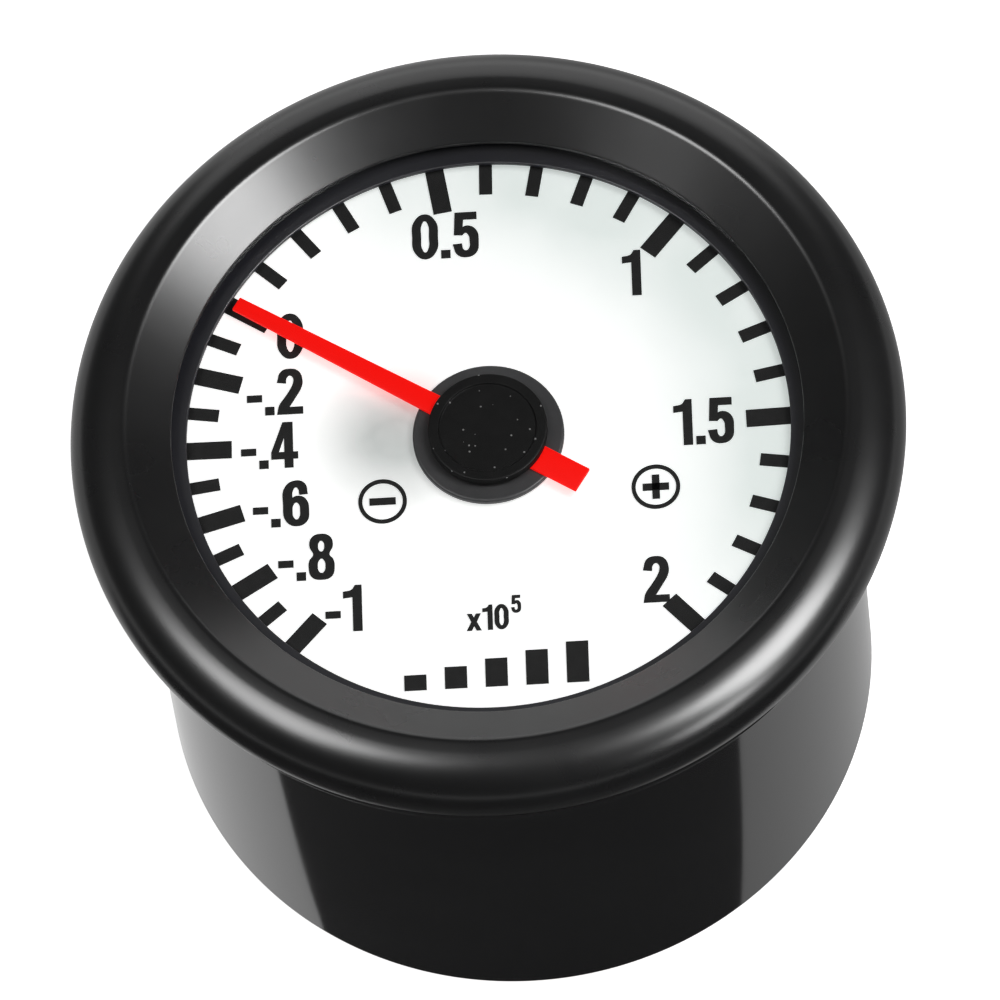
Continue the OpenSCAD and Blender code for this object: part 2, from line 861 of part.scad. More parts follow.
// The lamps on the board
module lamps() {
    color([0.98, 0.93, 0.6])
        for (i = [0 : lamp_count - 1])
            rotate(360 * i / lamp_count)
                translate([lamp_r - lamp_w / 2, -lamp_len / 2, board_z])
                    cube([lamp_w, lamp_len, lamp_h]);
}

// The lamps' series resistors, half way between lamps
module lamp_resistors() {
    color([0.1, 0.1, 0.1])
        for (i = [0 : resistor_count - 1])
            rotate(360 * i / resistor_count + 180 / lamp_count)
                translate([lamp_r - resistor_w / 2, -resistor_len / 2, board_z])
                    cube([resistor_w, resistor_len, resistor_h]);
}

// The white tray that holds the board and carries the light guide, on the step in the barrel
module lamp_tray() {
    color([0.93, 0.93, 0.9]) {
        ring(2 * tray_r, board_in_d, mouth_z, tray_floor_z);
        ring(2 * tray_r, 2 * tray_in_r, tray_floor_z, tray_top_z);
    }
}

// The red needle, pointing at zero
module needle() {
    color([1, 0.06, 0.02])
        translate([0, 0, needle_z])
            rotate(zero_dir)
                linear_extrude(needle_t)
                    difference() {
                        polygon([
                            [needle_len, needle_tip_w / 2],
                            [needle_len, -needle_tip_w / 2],
                            [0, -needle_root_w / 2],
                            [-cap_d / 2, -needle_tail_w / 2],
                            [-needle_tail, -needle_tail_w / 2],
                            [-needle_tail, needle_tail_w / 2],
                            [-cap_d / 2, needle_tail_w / 2],
                            [0, needle_root_w / 2]
                        ]);
                        circle(r = arbor_hole_r);
                    }
}

// The grey skirt of the hub, under the needle
module hub_skirt() {
    color([0.2, 0.2, 0.2])
        ring(skirt_d, 2 * arbor_hole_r, skirt_z, needle_z);
}

// The black cap of the hub, over the needle, with a shallow dish on top
module hub_cap() {
    color([0.02, 0.02, 0.02])
        difference() {
            rod(cap_d, cap_z, cap_top_z);
            rod(2 * arbor_hole_r, cap_z - cut, arbor_top_z + fit_gap);
            rod(cap_dish_d, cap_top_z - cap_dish_t, cap_top_z + cut);
        }
}

// The pointer's arbor, from the back bush to the hub cap
module pointer_arbor() {
    color([0.75, 0.75, 0.77])
        rod(arbor_d, back_plate_z + bush_end_t + end_shake, arbor_top_z);
}

// The pinion on the pointer's arbor, with a tooth on the line of centres
module pinion() {
    root_r = gear_module * (pinion_teeth / 2 - sector_addendum_share - root_clearance_share);
    tip_r = gear_module * (pinion_teeth / 2 + pinion_addendum_share);
    color([0.8, 0.62, 0.25])
        translate([0, 0, sector_z - pinion_extra])
            linear_extrude(sector_t + 2 * pinion_extra)
                difference() {
                    union() {
                        circle(r = root_r);
                        for (i = [0 : pinion_teeth - 1])
                            rotate(sector_dir + 360 * i / pinion_teeth)
                                tooth(pinion_teeth, root_r, tip_r);
                    }
                    circle(r = arbor_hole_r);
                }
}

// The collet that holds the hairspring's inner end
module hairspring_collet() {
    color([0.8, 0.62, 0.25])
        ring(collet_d, 2 * arbor_hole_r, collet_z, collet_z + collet_h);
}

// A point of the hairspring's middle line, at a share of its length
function spiral(at) = polar(
    hairspring_in_r + (hairspring_r - hairspring_in_r) * at,
    hairspring_end_dir - 360 * hairspring_turns * (1 - at)
);
// The same point moved out from the middle line
function spiral_side(at, out) = spiral(at) * (1 + out / norm(spiral(at)));

// The hairspring, one flat strip wound from the collet to its stud
module hairspring() {
    steps = hairspring_steps * hairspring_turns;
    color([0.72, 0.5, 0.25])
        translate([0, 0, hairspring_z])
            linear_extrude(hairspring_w)
                polygon(concat(
                    [for (i = [0 : steps]) spiral_side(i / steps, hairspring_t / 2)],
                    [for (i = [steps : -1 : 0]) spiral_side(i / steps, -hairspring_t / 2)]
                ));
}
// Least gap between neighbouring turns, measured on the spiral's own points
echo(hairspring_least_gap = min([
    for (i = [0 : hairspring_steps * (hairspring_turns - 1)])
        norm(spiral((i + hairspring_steps) / (hairspring_steps * hairspring_turns)))
            - norm(spiral(i / (hairspring_steps * hairspring_turns))) - hairspring_t
]));

// The stud under the front plate that holds the hairspring's outer end
module hairspring_stud() {
    stud_at = hairspring_r + hairspring_t / 2 + fit_gap + hairspring_stud_d / 2;
    color([0.8, 0.62, 0.25])
        translate(polar(stud_at, hairspring_end_dir))
            rod(hairspring_stud_d, hairspring_z, front_top_z);
}

// The toothed sector, with a gap between teeth on the line of centres, its spokes and its tail
module sector_gear() {
    pitch_turn = 360 / sector_teeth;
    root_r = gear_module * (sector_teeth / 2 - pinion_addendum_share - root_clearance_share);
    tip_r = gear_module * (sector_teeth / 2 + sector_addendum_share);
    rim_in_r = root_r - sector_rim_w;
    mesh_dir = sector_dir + 180;
    first_dir = mesh_dir + sector_first * pitch_turn;
    last_dir = mesh_dir + (sector_last + 1) * pitch_turn;
    color([0.8, 0.62, 0.25])
        translate([sector_x, sector_y, 0]) {
            translate([0, 0, sector_z])
                linear_extrude(sector_t)
                    difference() {
                        union() {
                            circle(d = sector_hub_d);
                            intersection() {
                                difference() {
                                    circle(r = root_r);
                                    circle(r = rim_in_r);
                                }
                                polygon([
                                    [0, 0],
                                    polar(2 * root_r, first_dir),
                                    polar(2 * root_r, mesh_dir),
                                    polar(2 * root_r, last_dir)
                                ]);
                            }
                            for (i = [sector_first : sector_last])
                                rotate(mesh_dir + (i + 1 / 2) * pitch_turn)
                                    tooth(sector_teeth, root_r, tip_r);
                            bar([0, 0], polar(rim_in_r + sector_rim_w / 2,
                                first_dir + sector_spoke_w / rim_in_r * 90 / PI), sector_spoke_w);
                            bar([0, 0], polar(rim_in_r + sector_rim_w / 2,
                                last_dir - sector_spoke_w / rim_in_r * 90 / PI), sector_spoke_w);
                            bar([0, 0], polar(tail_len, tail_dir), tail_w);
                        }
                        circle(d = sector_arbor_d + 2 * fit_gap);
                        translate(polar(tail_len, tail_dir))
                            circle(d = pin_d + 2 * fit_gap);
                    }
            ring(sector_boss_d, sector_arbor_d + 2 * fit_gap, sector_z + sector_t,
                sector_z + sector_t + sector_boss_h);
        }
}

// The sector's arbor
module sector_arbor() {
    color([0.75, 0.75, 0.77])
        translate([sector_x, sector_y, 0])
            rod(sector_arbor_d, back_plate_z + bush_end_t + end_shake, front_top_z);
}

// A pin with a head over the link
module link_pin(low) {
    rod(pin_d, low, link_z + link_t + end_shake);
    rod(pin_head_d, link_z + link_t + end_shake, link_z + link_t + end_shake + pin_head_t);
}

// The pin in the sector's tail
module tail_pin() {
    color([0.75, 0.75, 0.77])
        translate([tail_x, tail_y, 0])
            link_pin(sector_z);
}

// The link between the sector's tail and the tube's tip: a pivot at the tip, a loose hole at the tail
module link() {
    color([0.8, 0.62, 0.25])
        translate([0, 0, link_z])
            linear_extrude(link_t)
                difference() {
                    union() {
                        bar([tail_x, tail_y], [tip_x, tip_y], link_w);
                        translate([tail_x, tail_y])
                            circle(d = link_end_d);
                        translate([tip_x, tip_y])
                            circle(d = link_end_d);
                    }
                    translate([tail_x, tail_y])
                        circle(d = pin_d + 2 * open_gap);
                    translate([tip_x, tip_y])
                        circle(d = pin_d + 2 * run_gap);
                }
}

// The pin in the tube's tip
module tip_pin() {
    color([0.75, 0.75, 0.77])
        translate([tip_x, tip_y, 0])
            link_pin(sector_z);
}

// The cap on the pressure tube's moving end, with the ear for the link
module tube_tip() {
    cap_middle = polar(tube_r, tip_cap_dir + tip_cap_turn / 2);
    ear_span = cap_middle - [tip_x, tip_y];
    cap_t = tube_t + 2 * tip_cap_wall;
    color([0.8, 0.62, 0.25])
        difference() {
            union() {
                rotate(tip_cap_dir)
                    rotate_extrude(angle = tip_cap_turn)
                        translate([tube_r, middle_z])
                            square([cap_t, tube_w + 2 * tip_cap_wall], center = true);
                translate([tip_x, tip_y, sector_z])
                    linear_extrude(sector_t) {
                        circle(r = tip_ear_r);
                        rotate(atan2(ear_span[1], ear_span[0]))
                            translate([0, -tip_ear_r])
                                square([norm(ear_span), 2 * tip_ear_r]);
                    }
            }
            translate([tip_x, tip_y, 0])
                rod(pin_d + 2 * fit_gap, sector_z - cut, sector_z + sector_t + cut);
        }
}

// The flattened pressure tube, from its root in the block round to its tip
module pressure_tube() {
    color([0.78, 0.55, 0.3])
        rotate(tube_end_dir)
            rotate_extrude(angle = tube_sweep)
                difference() {
                    tube_section(0);
                    tube_section(-tube_wall);
                }
}

// The brass block that carries the tube and the movement, with its stem through the back
module socket_block() {
    color([0.78, 0.6, 0.28])
        difference() {
            union() {
                translate([-block_w / 2, block_back_y, floor_z])
                    cube([block_w, block_base_y - block_back_y, block_base_h]);
                translate([-block_w / 2, block_back_y, floor_z])
                    cube([block_w, block_ledge_y - block_back_y, back_plate_z - floor_z]);
                translate([-block_w / 2, block_back_y, floor_z])
                    cube([block_w, block_front_y - block_back_y, block_top_z - floor_z]);
                translate([0, -port_offset, 0])
                    rod(stem_d, stem_end_z, floor_z + fit_gap);
            }
            translate([0, -port_offset, 0]) {
                rod(passage_d, stem_end_z - cut, cross_z);
                rod(stem_bore_d, stem_end_z - cut, stem_end_z + stem_bore_len);
            }
            translate([0, -port_offset, cross_z])
                rotate([90, 0, 0])
                    cylinder(d = passage_d, h = tube_r - port_offset);
            translate([0, -tube_r, 0])
                rod(passage_d, cross_z, middle_z + side_passage_d);
            translate([0, -tube_r, middle_z])
                rotate([0, -90, 0])
                    cylinder(d = side_passage_d, h = block_w / 2 - tube_seat + cut);
            rotate(tube_root_dir - tube_slot_turn)
                rotate_extrude(angle = tube_slot_turn)
                    tube_section(fit_gap);
            for (side = [-1, 1]) {
                translate([side * movement_screw_x, movement_screw_y, 0])
                    rod(movement_screw_d + 2 * fit_gap, back_plate_z - movement_screw_len, back_plate_z + cut);
                translate([side * block_screw_x, block_screw_y, 0])
                    rod(block_screw_d + 2 * fit_gap, floor_z - cut, floor_z + block_screw_len);
            }
        }
}

// Outline of the two movement plates, round the arbors and the pillars
module plate_outline() {
    rounded_outline(
        [for (p = concat(pillar_shares, [[cos(sector_dir), sin(sector_dir)]])) p * centre_distance],
        plate_edge
    );
}

// Places that a plate is drilled at: the two arbors' bushes
module bush_holes() {
    circle(d = bush_d + 2 * fit_gap);
    translate([sector_x, sector_y])
        circle(d = bush_d + 2 * fit_gap);
}

// The front movement plate
module front_plate() {
    stud_at = hairspring_r + hairspring_t / 2 + fit_gap + hairspring_stud_d / 2;
    color([0.8, 0.64, 0.32])
        translate([0, 0, front_z])
            linear_extrude(plate_t)
                difference() {
                    plate_outline();
                    bush_holes();
                    for (p = pillar_shares)
                        translate(p * centre_distance)
                            circle(d = plate_screw_d + 2 * fit_gap);
                    translate(polar(stud_at, hairspring_end_dir))
                        circle(d = hairspring_stud_d + 2 * fit_gap);
                }
}

// The back movement plate, with its foot on the block's ledge
module back_plate() {
    color([0.8, 0.64, 0.32])
        translate([0, 0, back_plate_z])
            linear_extrude(plate_t)
                difference() {
                    union() {
                        plate_outline();
                        translate([-block_w / 2, block_front_y + seat_gap])
                            square([block_w, foot_len]);
                    }
                    bush_holes();
                    for (p = pillar_shares)
                        translate(p * centre_distance)
                            circle(d = spigot_d + 2 * fit_gap);
                    for (side = [-1, 1])
                        translate([side * movement_screw_x, movement_screw_y])
                            circle(d = movement_screw_d + 2 * fit_gap);
                }
}

// The three pillars, each riveted into the back plate and drilled for a screw at the front
module plate_pillars() {
    color([0.8, 0.62, 0.25])
        for (p = pillar_shares)
            translate(p * centre_distance)
                difference() {
                    union() {
                        rod(pillar_d, back_top_z, front_z);
                        rod(spigot_d, back_plate_z, back_top_z + fit_gap);
                    }
                    rod(plate_screw_d + 2 * fit_gap, front_z - plate_screw_len, front_z + cut);
                }
}

// The three screws through the front plate
module plate_screws() {
    color([0.7, 0.7, 0.72])
        for (p = pillar_shares)
            translate([p[0] * centre_distance, p[1] * centre_distance, front_top_z])
                slotted_screw(screw_head_d, screw_head_t, plate_screw_d, plate_t + plate_screw_len - seat_gap);
}

// The four bushes that the two arbors turn in
module arbor_bushes() {
    color([0.85, 0.7, 0.35]) {
        ring(bush_d, arbor_d + 2 * run_gap, front_top_z - bush_len, front_top_z);
        difference() {
            rod(bush_d, back_plate_z, back_plate_z + bush_len);
            rod(arbor_d + 2 * run_gap, back_plate_z + bush_end_t, back_plate_z + bush_len + cut);
        }
        translate([sector_x, sector_y, 0]) {
            ring(bush_d, sector_arbor_d + 2 * run_gap, front_top_z - bush_len, front_top_z);
            difference() {
                rod(bush_d, back_plate_z, back_plate_z + bush_len);
                rod(sector_arbor_d + 2 * run_gap, back_plate_z + bush_end_t, back_plate_z + bush_len + cut);
            }
        }
    }
}

// The two screws that hold the back plate on the block
module movement_screws() {
    color([0.7, 0.7, 0.72])
        for (side = [-1, 1])
            translate([side * movement_screw_x, movement_screw_y, back_top_z])
                slotted_screw(screw_head_d, screw_head_t, movement_screw_d,
                    plate_t + movement_screw_len - seat_gap);
}

// The two screws through the back into the block
module block_screws() {
    color([0.7, 0.7, 0.72])
        for (side = [-1, 1])
            translate([side * block_screw_x, block_screw_y, back_z])
                rotate([180, 0, 0])
                    slotted_screw(block_screw_head_d, block_screw_head_t, block_screw_d,
                        back_t + block_screw_len - seat_gap);
}

// The washer under the port nut
module port_washer() {
    color([0.72, 0.38, 0.2])
        translate([0, -port_offset, 0])
            ring(port_washer_d, stem_d + 2 * seat_gap, back_z - port_washer_t, back_z);
}

// The nut that clamps the stem to the back
module port_nut() {
    nut_top_z = back_z - port_washer_t;
    color([0.8, 0.62, 0.25])
        translate([0, -port_offset, 0])
            nut(port_nut_af, stem_d + 2 * fit_gap, nut_top_z - port_nut_t, nut_top_z);
}

// The hose tail screwed into the stem: a plug, a hexagon and a barbed spout
module hose_tail() {
    hex_low_z = stem_end_z - tail_hex_t;
    color([0.8, 0.62, 0.25])
        translate([0, -port_offset, 0])
            difference() {
                union() {
                    rod(stem_bore_d - 2 * fit_gap, stem_end_z, stem_end_z + stem_bore_len - seat_gap);
                    translate([0, 0, hex_low_z])
                        cylinder(d = tail_hex_af / cos(180 / hex_sides), h = tail_hex_t, $fn = hex_sides);
                    rod(tail_d, tail_end_z, hex_low_z);
                    for (i = [0 : barb_count - 1])
                        translate([0, 0, tail_end_z + i * (barb_cone_len + barb_land_len)]) {
                            cylinder(d1 = tail_d, d2 = barb_d, h = barb_cone_len);
                            rod(barb_d, barb_cone_len, barb_cone_len + barb_land_len);
                        }
                }
                rod(tail_bore_d, tail_end_z - cut, stem_end_z + stem_bore_len);
            }
}

// The two mounting studs, with their heads inside the back and a step down behind their nuts
module mounting_studs() {
    color([0.75, 0.75, 0.77])
        for (side = [-1, 1])
            translate([side * stud_x, stud_rise, 0]) {
                rod(stud_d, tail_end_z + stud_chamfer, stud_root_z + fit_gap);
                rod(stud_root_d, stud_root_z, floor_z + fit_gap);
                rod(stud_head_d, floor_z, floor_z + stud_head_t);
                translate([0, 0, tail_end_z])
                    cylinder(d1 = stud_d - 2 * stud_chamfer, d2 = stud_d, h = stud_chamfer);
            }
}

// The washers on the studs
module stud_washers() {
    color([0.72, 0.72, 0.74])
        for (side = [-1, 1])
            translate([side * stud_x, stud_rise, 0])
                ring(stud_washer_d, stud_root_d + 2 * seat_gap, back_z - stud_washer_t, back_z);
}

// The nuts on the studs
module stud_nuts() {
    nut_top_z = back_z - stud_washer_t;
    color([0.75, 0.75, 0.77])
        for (side = [-1, 1])
            translate([side * stud_x, stud_rise, 0])
                nut(stud_nut_af, stud_root_d + 2 * fit_gap, nut_top_z - stud_nut_t, nut_top_z);
}

// The rubber grommet in the back that the lamp leads go through
module lead_grommet() {
    color([0.03, 0.03, 0.03])
        translate([0, inlet_offset, 0])
            difference() {
                union() {
                    rod(grommet_neck_d - 2 * fit_gap, back_z - grommet_lip_t, floor_z + grommet_lip_t);
                    rod(grommet_d, back_z - grommet_lip_t, back_z);
                    rod(grommet_d, floor_z, floor_z + grommet_lip_t);
                }
                rod(inlet_d, back_z - grommet_lip_t - cut, floor_z + grommet_lip_t + cut);
            }
}

barrel();
bezel();
bezel_seal();
lens();
lens_gasket();
trim_ring();
dial_plate();
scale_marks();
scale_numbers();
dial_signs();
light_guide();
lamp_board();
lamps();
lamp_resistors();
lamp_tray();
needle();
hub_skirt();
hub_cap();
pointer_arbor();
pinion();
hairspring_collet();
hairspring();
hairspring_stud();
sector_gear();
sector_arbor();
tail_pin();
link();
tip_pin();
tube_tip();
pressure_tube();
socket_block();
front_plate();
back_plate();
plate_pillars();
plate_screws();
arbor_bushes();
movement_screws();
block_screws();
port_washer();
port_nut();
hose_tail();
mounting_studs();
stud_washers();
stud_nuts();
lead_grommet();
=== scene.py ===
import math
from collections import namedtuple

import bmesh
import bpy
from bpy.props import FloatProperty, FloatVectorProperty, IntProperty, PointerProperty
from mathutils import Matrix, Vector


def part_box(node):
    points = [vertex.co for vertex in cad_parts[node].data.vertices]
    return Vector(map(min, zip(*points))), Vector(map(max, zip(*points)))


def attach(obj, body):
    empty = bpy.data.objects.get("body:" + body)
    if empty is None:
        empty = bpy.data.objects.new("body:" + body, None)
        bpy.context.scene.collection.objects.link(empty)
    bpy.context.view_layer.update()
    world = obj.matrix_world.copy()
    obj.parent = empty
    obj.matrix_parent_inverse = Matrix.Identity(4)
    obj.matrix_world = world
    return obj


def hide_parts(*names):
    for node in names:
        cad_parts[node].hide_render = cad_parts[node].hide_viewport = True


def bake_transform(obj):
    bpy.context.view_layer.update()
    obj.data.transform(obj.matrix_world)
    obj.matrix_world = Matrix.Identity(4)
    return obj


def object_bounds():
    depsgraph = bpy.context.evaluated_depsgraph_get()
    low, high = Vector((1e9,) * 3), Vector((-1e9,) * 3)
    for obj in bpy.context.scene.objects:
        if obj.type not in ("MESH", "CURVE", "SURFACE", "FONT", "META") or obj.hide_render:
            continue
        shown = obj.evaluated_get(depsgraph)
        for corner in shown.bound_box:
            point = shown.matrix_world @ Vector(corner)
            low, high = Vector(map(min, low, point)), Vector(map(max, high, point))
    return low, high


bl_info = {
    "name": "Vacuum Gauge",
    "version": (1, 0, 0),
    "blender": (4, 5, 0),
    "location": "3D View > Sidebar > Gauge",
    "description": "Dresses the packed vacuum gauge: bezel, barrel, lit dial, needle and fittings",
    "category": "Object",
}

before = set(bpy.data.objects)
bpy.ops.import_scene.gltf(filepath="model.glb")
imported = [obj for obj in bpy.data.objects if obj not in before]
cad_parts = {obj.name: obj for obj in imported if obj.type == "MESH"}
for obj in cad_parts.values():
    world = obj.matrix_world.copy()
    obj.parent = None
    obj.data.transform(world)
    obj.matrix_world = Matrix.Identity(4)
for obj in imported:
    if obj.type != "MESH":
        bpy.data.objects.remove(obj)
CAD_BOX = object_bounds()
MM = 0.001
Corner = namedtuple("Corner", "x y z")

# places on the back and turns on the dial, in millimetres and degrees, as in the CAD
STUD_X, STUD_Y = 17.0, 8.0
PORT_AT = (0.0, -12.0)
INLET_AT = (0.0, 15.0)
PLUS_MINUS_Y = -4.625
ZERO_TURN = 147.5
VACUUM_STEP, PRESSURE_STEP = 8.0, -9.75
BARREL_BACK = -35.6
BARREL_WALL, MOUTH_WALL, BACK_WALL = 1.8, 1.0, 2.0
MOUTH_FLOOR = -3.7
FLANGE = 0.8
WASHER, NUT, NECK_PAST_NUT = 0.8, 3.2, 0.4
STUD_HOLE, STUD_NECK, STUD_HEAD, STUD_RADIUS = 2.52, 2.5, 4.5, 2.0
SCREW_HEAD = 1.8
PORT_HOLE = 4.1
TRIM_BORE = 21.7
HUB_BORE = 0.62

# how far the lights stand from the gauge, in metres
LIGHTS_AWAY = 0.60


# ---------------------------------------------------------------- sizes, finishes and the stage


def length(name, description, millimetres):
    """A length property whose default is given in millimetres."""
    return FloatProperty(
        name=name, description=description, default=millimetres * MM, min=0.0,
        precision=5, unit="LENGTH", subtype="DISTANCE",
    )


def colour(name, description, red, green, blue):
    """A colour property without alpha."""
    return FloatVectorProperty(
        name=name, description=description, default=(red, green, blue), size=3,
        min=0.0, max=1.0, subtype="COLOR",
    )


def light_level(name, description, default):
    """A brightness property."""
    return FloatProperty(name=name, description=description, default=default, min=0.0)


class GaugeSizes(bpy.types.PropertyGroup):
    """Sizes that the frame doesn't give by itself."""

    segments: IntProperty(
        name="Segments", description="Faces round each large turned piece", default=256, min=48, max=512)
    foot_radius: length("Bezel foot", "Radius of the bezel where it stands on the seal", 28.95)
    wide_height: length("Widest height", "Height of the bezel's widest place over the panel", 3.9)
    crease_radius: length("Crease", "Radius of the crease between the bezel's outside and its cone", 25.9)
    lip_radius: length("Lip", "Radius of the bezel's opening", 22.7)
    lip_height: length("Lip height", "Height of the bezel's lip over the panel", 4.8)
    lip_thickness: length("Lip thickness", "Thickness of the bezel's lip over the lens", 0.3)
    crease_fillet: length("Crease fillet", "Rounding of the bezel's crease", 0.8)
    barrel_radius: length("Barrel", "Outside radius of the barrel", 26.0)
    barrel_fillet: length("Barrel fillet", "Rounding of the barrel's back edge", 0.6)
    lens_rise: length("Lens rise", "Height of the lens's crown over its rim", 1.5)
    number_height: length("Number height", "Height of the numbers on the dial", 3.5)
    number_widening: FloatProperty(
        name="Number widening", description="Width of the figures against their drawing",
        default=1.0, min=0.5, max=1.5)
    thread_pitch: length("Thread pitch", "Pitch of the studs' thread", 0.7)
    thread_depth: length("Thread depth", "Depth of the studs' thread", 0.28)
    tube_thickness: length("Tube thickness", "Thickness of the flattened pressure tube", 1.6)
    tube_wall: length("Tube wall", "Wall of the pressure tube", 0.25)


class GaugeFinish(bpy.types.PropertyGroup):
    """Colours of the finishes."""

    bezel: colour("Bezel", "Satin black of the bezel", 0.006, 0.006, 0.0066)
    barrel: colour("Barrel", "Gloss black of the barrel", 0.004, 0.004, 0.0044)
    rubber: colour("Rubber", "Black rubber of seal and grommet", 0.010, 0.010, 0.010)
    trim: colour("Trim ring", "Blue-black of the ring round the dial", 0.007, 0.007, 0.014)
    dial: colour("Dial", "White of the dial", 0.95, 0.96, 0.95)
    # painted shade: grey-green of the dial's dimmer side, also darkened for the painted shadow beside the hub
    dial_painted_shade: colour("Dial edge", "Grey-green of the dial's dimmer side", 0.66, 0.71, 0.69)
    ink: colour("Ink", "Black of the printed marks and numbers", 0.004, 0.004, 0.004)
    needle: colour("Needle", "Red of the needle", 0.84, 0.002, 0.0)
    skirt: colour("Hub skirt", "Dark grey of the hub's skirt", 0.055, 0.055, 0.058)
    cap: colour("Hub cap", "Black of the hub's cap", 0.0008, 0.0008, 0.0008)
    brass: colour("Brass", "Brass of the nuts, the hose tail and the movement", 0.78, 0.56, 0.24)
    steel: colour("Steel", "Steel of the arbors and pins", 0.56, 0.56, 0.57)
    zinc: colour("Zinc", "Zinc plating of the studs and their nuts", 0.62, 0.64, 0.66)
    copper: colour("Copper", "Copper of the port washer", 0.72, 0.33, 0.18)
    bronze: colour("Bronze", "Bronze of the pressure tube and the hairspring", 0.66, 0.38, 0.17)
    board: colour("Board", "Green of the lamp board", 0.012, 0.10, 0.035)
    # painted light: the dial's own glow, which stands in for the lamps behind it
    glow: light_level("Dial glow", "How brightly the lamps light the dial through", 0.74)


class GaugeStage(bpy.types.PropertyGroup):
    """The camera, the lights and the floor."""

    distance: length("Distance", "Distance of the camera from the lens's middle", 1000.0)
    elevation: FloatProperty(
        name="Elevation", description="Height angle of the camera", default=math.radians(63.66), unit="ROTATION")
    azimuth: FloatProperty(
        name="Azimuth", description="Direction of the camera to the right of the front",
        default=math.radians(5.75), unit="ROTATION")
    roll: FloatProperty(
        name="Roll", description="Turn of the camera about its own line of sight",
        default=math.radians(-8.27), unit="ROTATION")
    focal_length: FloatProperty(
        name="Focal length", description="Focal length in millimetres", default=502.48, min=50.0)
    aim_right: length("Aim right", "How far right of the lens's middle the camera points", 0.8777)
    aim_down: length("Aim down", "How far under the lens's middle the camera points", 5.0595)
    aim_height: length("Aim height", "Height of the lens's middle over the panel", 3.9)
    key_light: light_level("Key light", "Radiance of the light at the right", 25.0)
    fill_light: light_level("Fill light", "Radiance of the light at the left", 15.0)
    back_light: light_level("Back light", "Radiance of the panel behind", 1.5)
    soft_light: light_level("Soft light", "Radiance of the overhead light, which leaves no gloss", 4.4)
    card_left: light_level("Left card", "Brightness of the grey card in the barrel's left side", 0.75)
    card_right: light_level("Right card", "Brightness of the grey card in the barrel's right side", 0.52)
    sky: light_level("Sky", "Brightness of the room", 0.10)


def sizes():
    return bpy.context.scene.gauge_sizes


def finish():
    return bpy.context.scene.gauge_finish


# ---------------------------------------------------------------- node trees


def put(tree, kind, **settings):
    """A node of a kind with its settings: its own properties, and its inputs by name, with _ for a space.

    An input takes a value or a socket that is wired to it."""
    node = tree.nodes.new(kind)
    for key, value in settings.items():
        if hasattr(node, key):
            setattr(node, key, value)
            continue
        feed(tree, value, node.inputs[key.replace("_", " ")])
    return node


def feed(tree, value, target):
    """Gives an input a value, or wires a socket to it."""
    if isinstance(value, bpy.types.NodeSocket):
        tree.links.new(value, target)
    else:
        target.default_value = value


def sum_of(tree, operation, *operands):
    """One math node; each operand is a number or a socket."""
    node = put(tree, "ShaderNodeMath", operation=operation)
    for socket, value in zip(node.inputs, operands):
        feed(tree, value, socket)
    return node.outputs[0]


def vector_of(tree, operation, first, second=None):
    """One vector math node, whose operands are vectors or sockets."""
    node = put(tree, "ShaderNodeVectorMath", operation=operation)
    feed(tree, first, node.inputs[0])
    if second is not None:
        feed(tree, second, node.inputs[1])
    return node.outputs["Value" if operation in {"LENGTH", "DISTANCE", "DOT_PRODUCT"} else "Vector"]


def mixed(tree, amount, first, second):
    """A colour mix by an amount; both colours are values or sockets."""
    node = put(tree, "ShaderNodeMix", data_type="RGBA")
    for index, value in ((0, amount), (6, first), (7, second)):
        feed(tree, value, node.inputs[index])
    return node.outputs[2]


def object_place(tree):
    """The place on the object's own mesh, in metres."""
    return tree.nodes.new("ShaderNodeTexCoord").outputs["Object"]


def set_inputs(modifier, tree, **values):
    """Gives a modifier its tree, and sets the tree's inputs by their sockets' identifiers."""
    modifier.node_group = tree
    known = {item.name: item.identifier for item in tree.interface.items_tree
             if item.item_type == "SOCKET" and item.in_out == "INPUT"}
    for name, value in values.items():
        modifier[known[name.replace("_", " ")]] = value


def built_once(build):
    """Builds a node tree once only, and then finds it by the function's name."""
    def found_or_built():
        return bpy.data.node_groups.get(build.__name__) or build(build.__name__)
    return found_or_built


def geometry_tree(name, inputs):
    """An empty Geometry Nodes tree with a geometry going in and out, the named inputs and a material."""
    tree = bpy.data.node_groups.new(name, "GeometryNodeTree")
    tree.interface.new_socket("Geometry", in_out="INPUT", socket_type="NodeSocketGeometry")
    for label, kind, default in inputs:
        tree.interface.new_socket(label, in_out="INPUT", socket_type="NodeSocket" + kind).default_value = default
    tree.interface.new_socket("Material", in_out="INPUT", socket_type="NodeSocketMaterial")
    tree.interface.new_socket("Geometry", in_out="OUTPUT", socket_type="NodeSocketGeometry")
    return tree, tree.nodes.new("NodeGroupInput").outputs


def repeated(tree, given, shape):
    """Places a shape's copies along a line from the tree's Start by its Step."""
    line = put(tree, "GeometryNodeMeshLine", mode="OFFSET", count_mode="TOTAL", Count=given["Copies"],
               Start_Location=given["Start"], Offset=given["Step"])
    return put(tree, "GeometryNodeInstanceOnPoints", Points=line.outputs[0], Instance=shape).outputs[0]


def ended(tree, given, instances):
    """Ends a tree in Realize Instances and Set Material."""
    real = put(tree, "GeometryNodeRealizeInstances", Geometry=instances)
    dressed = put(tree, "GeometryNodeSetMaterial", Geometry=real.outputs[0], Material=given["Material"])
    tree.links.new(dressed.outputs[0], tree.nodes.new("NodeGroupOutput").inputs[0])
    return tree


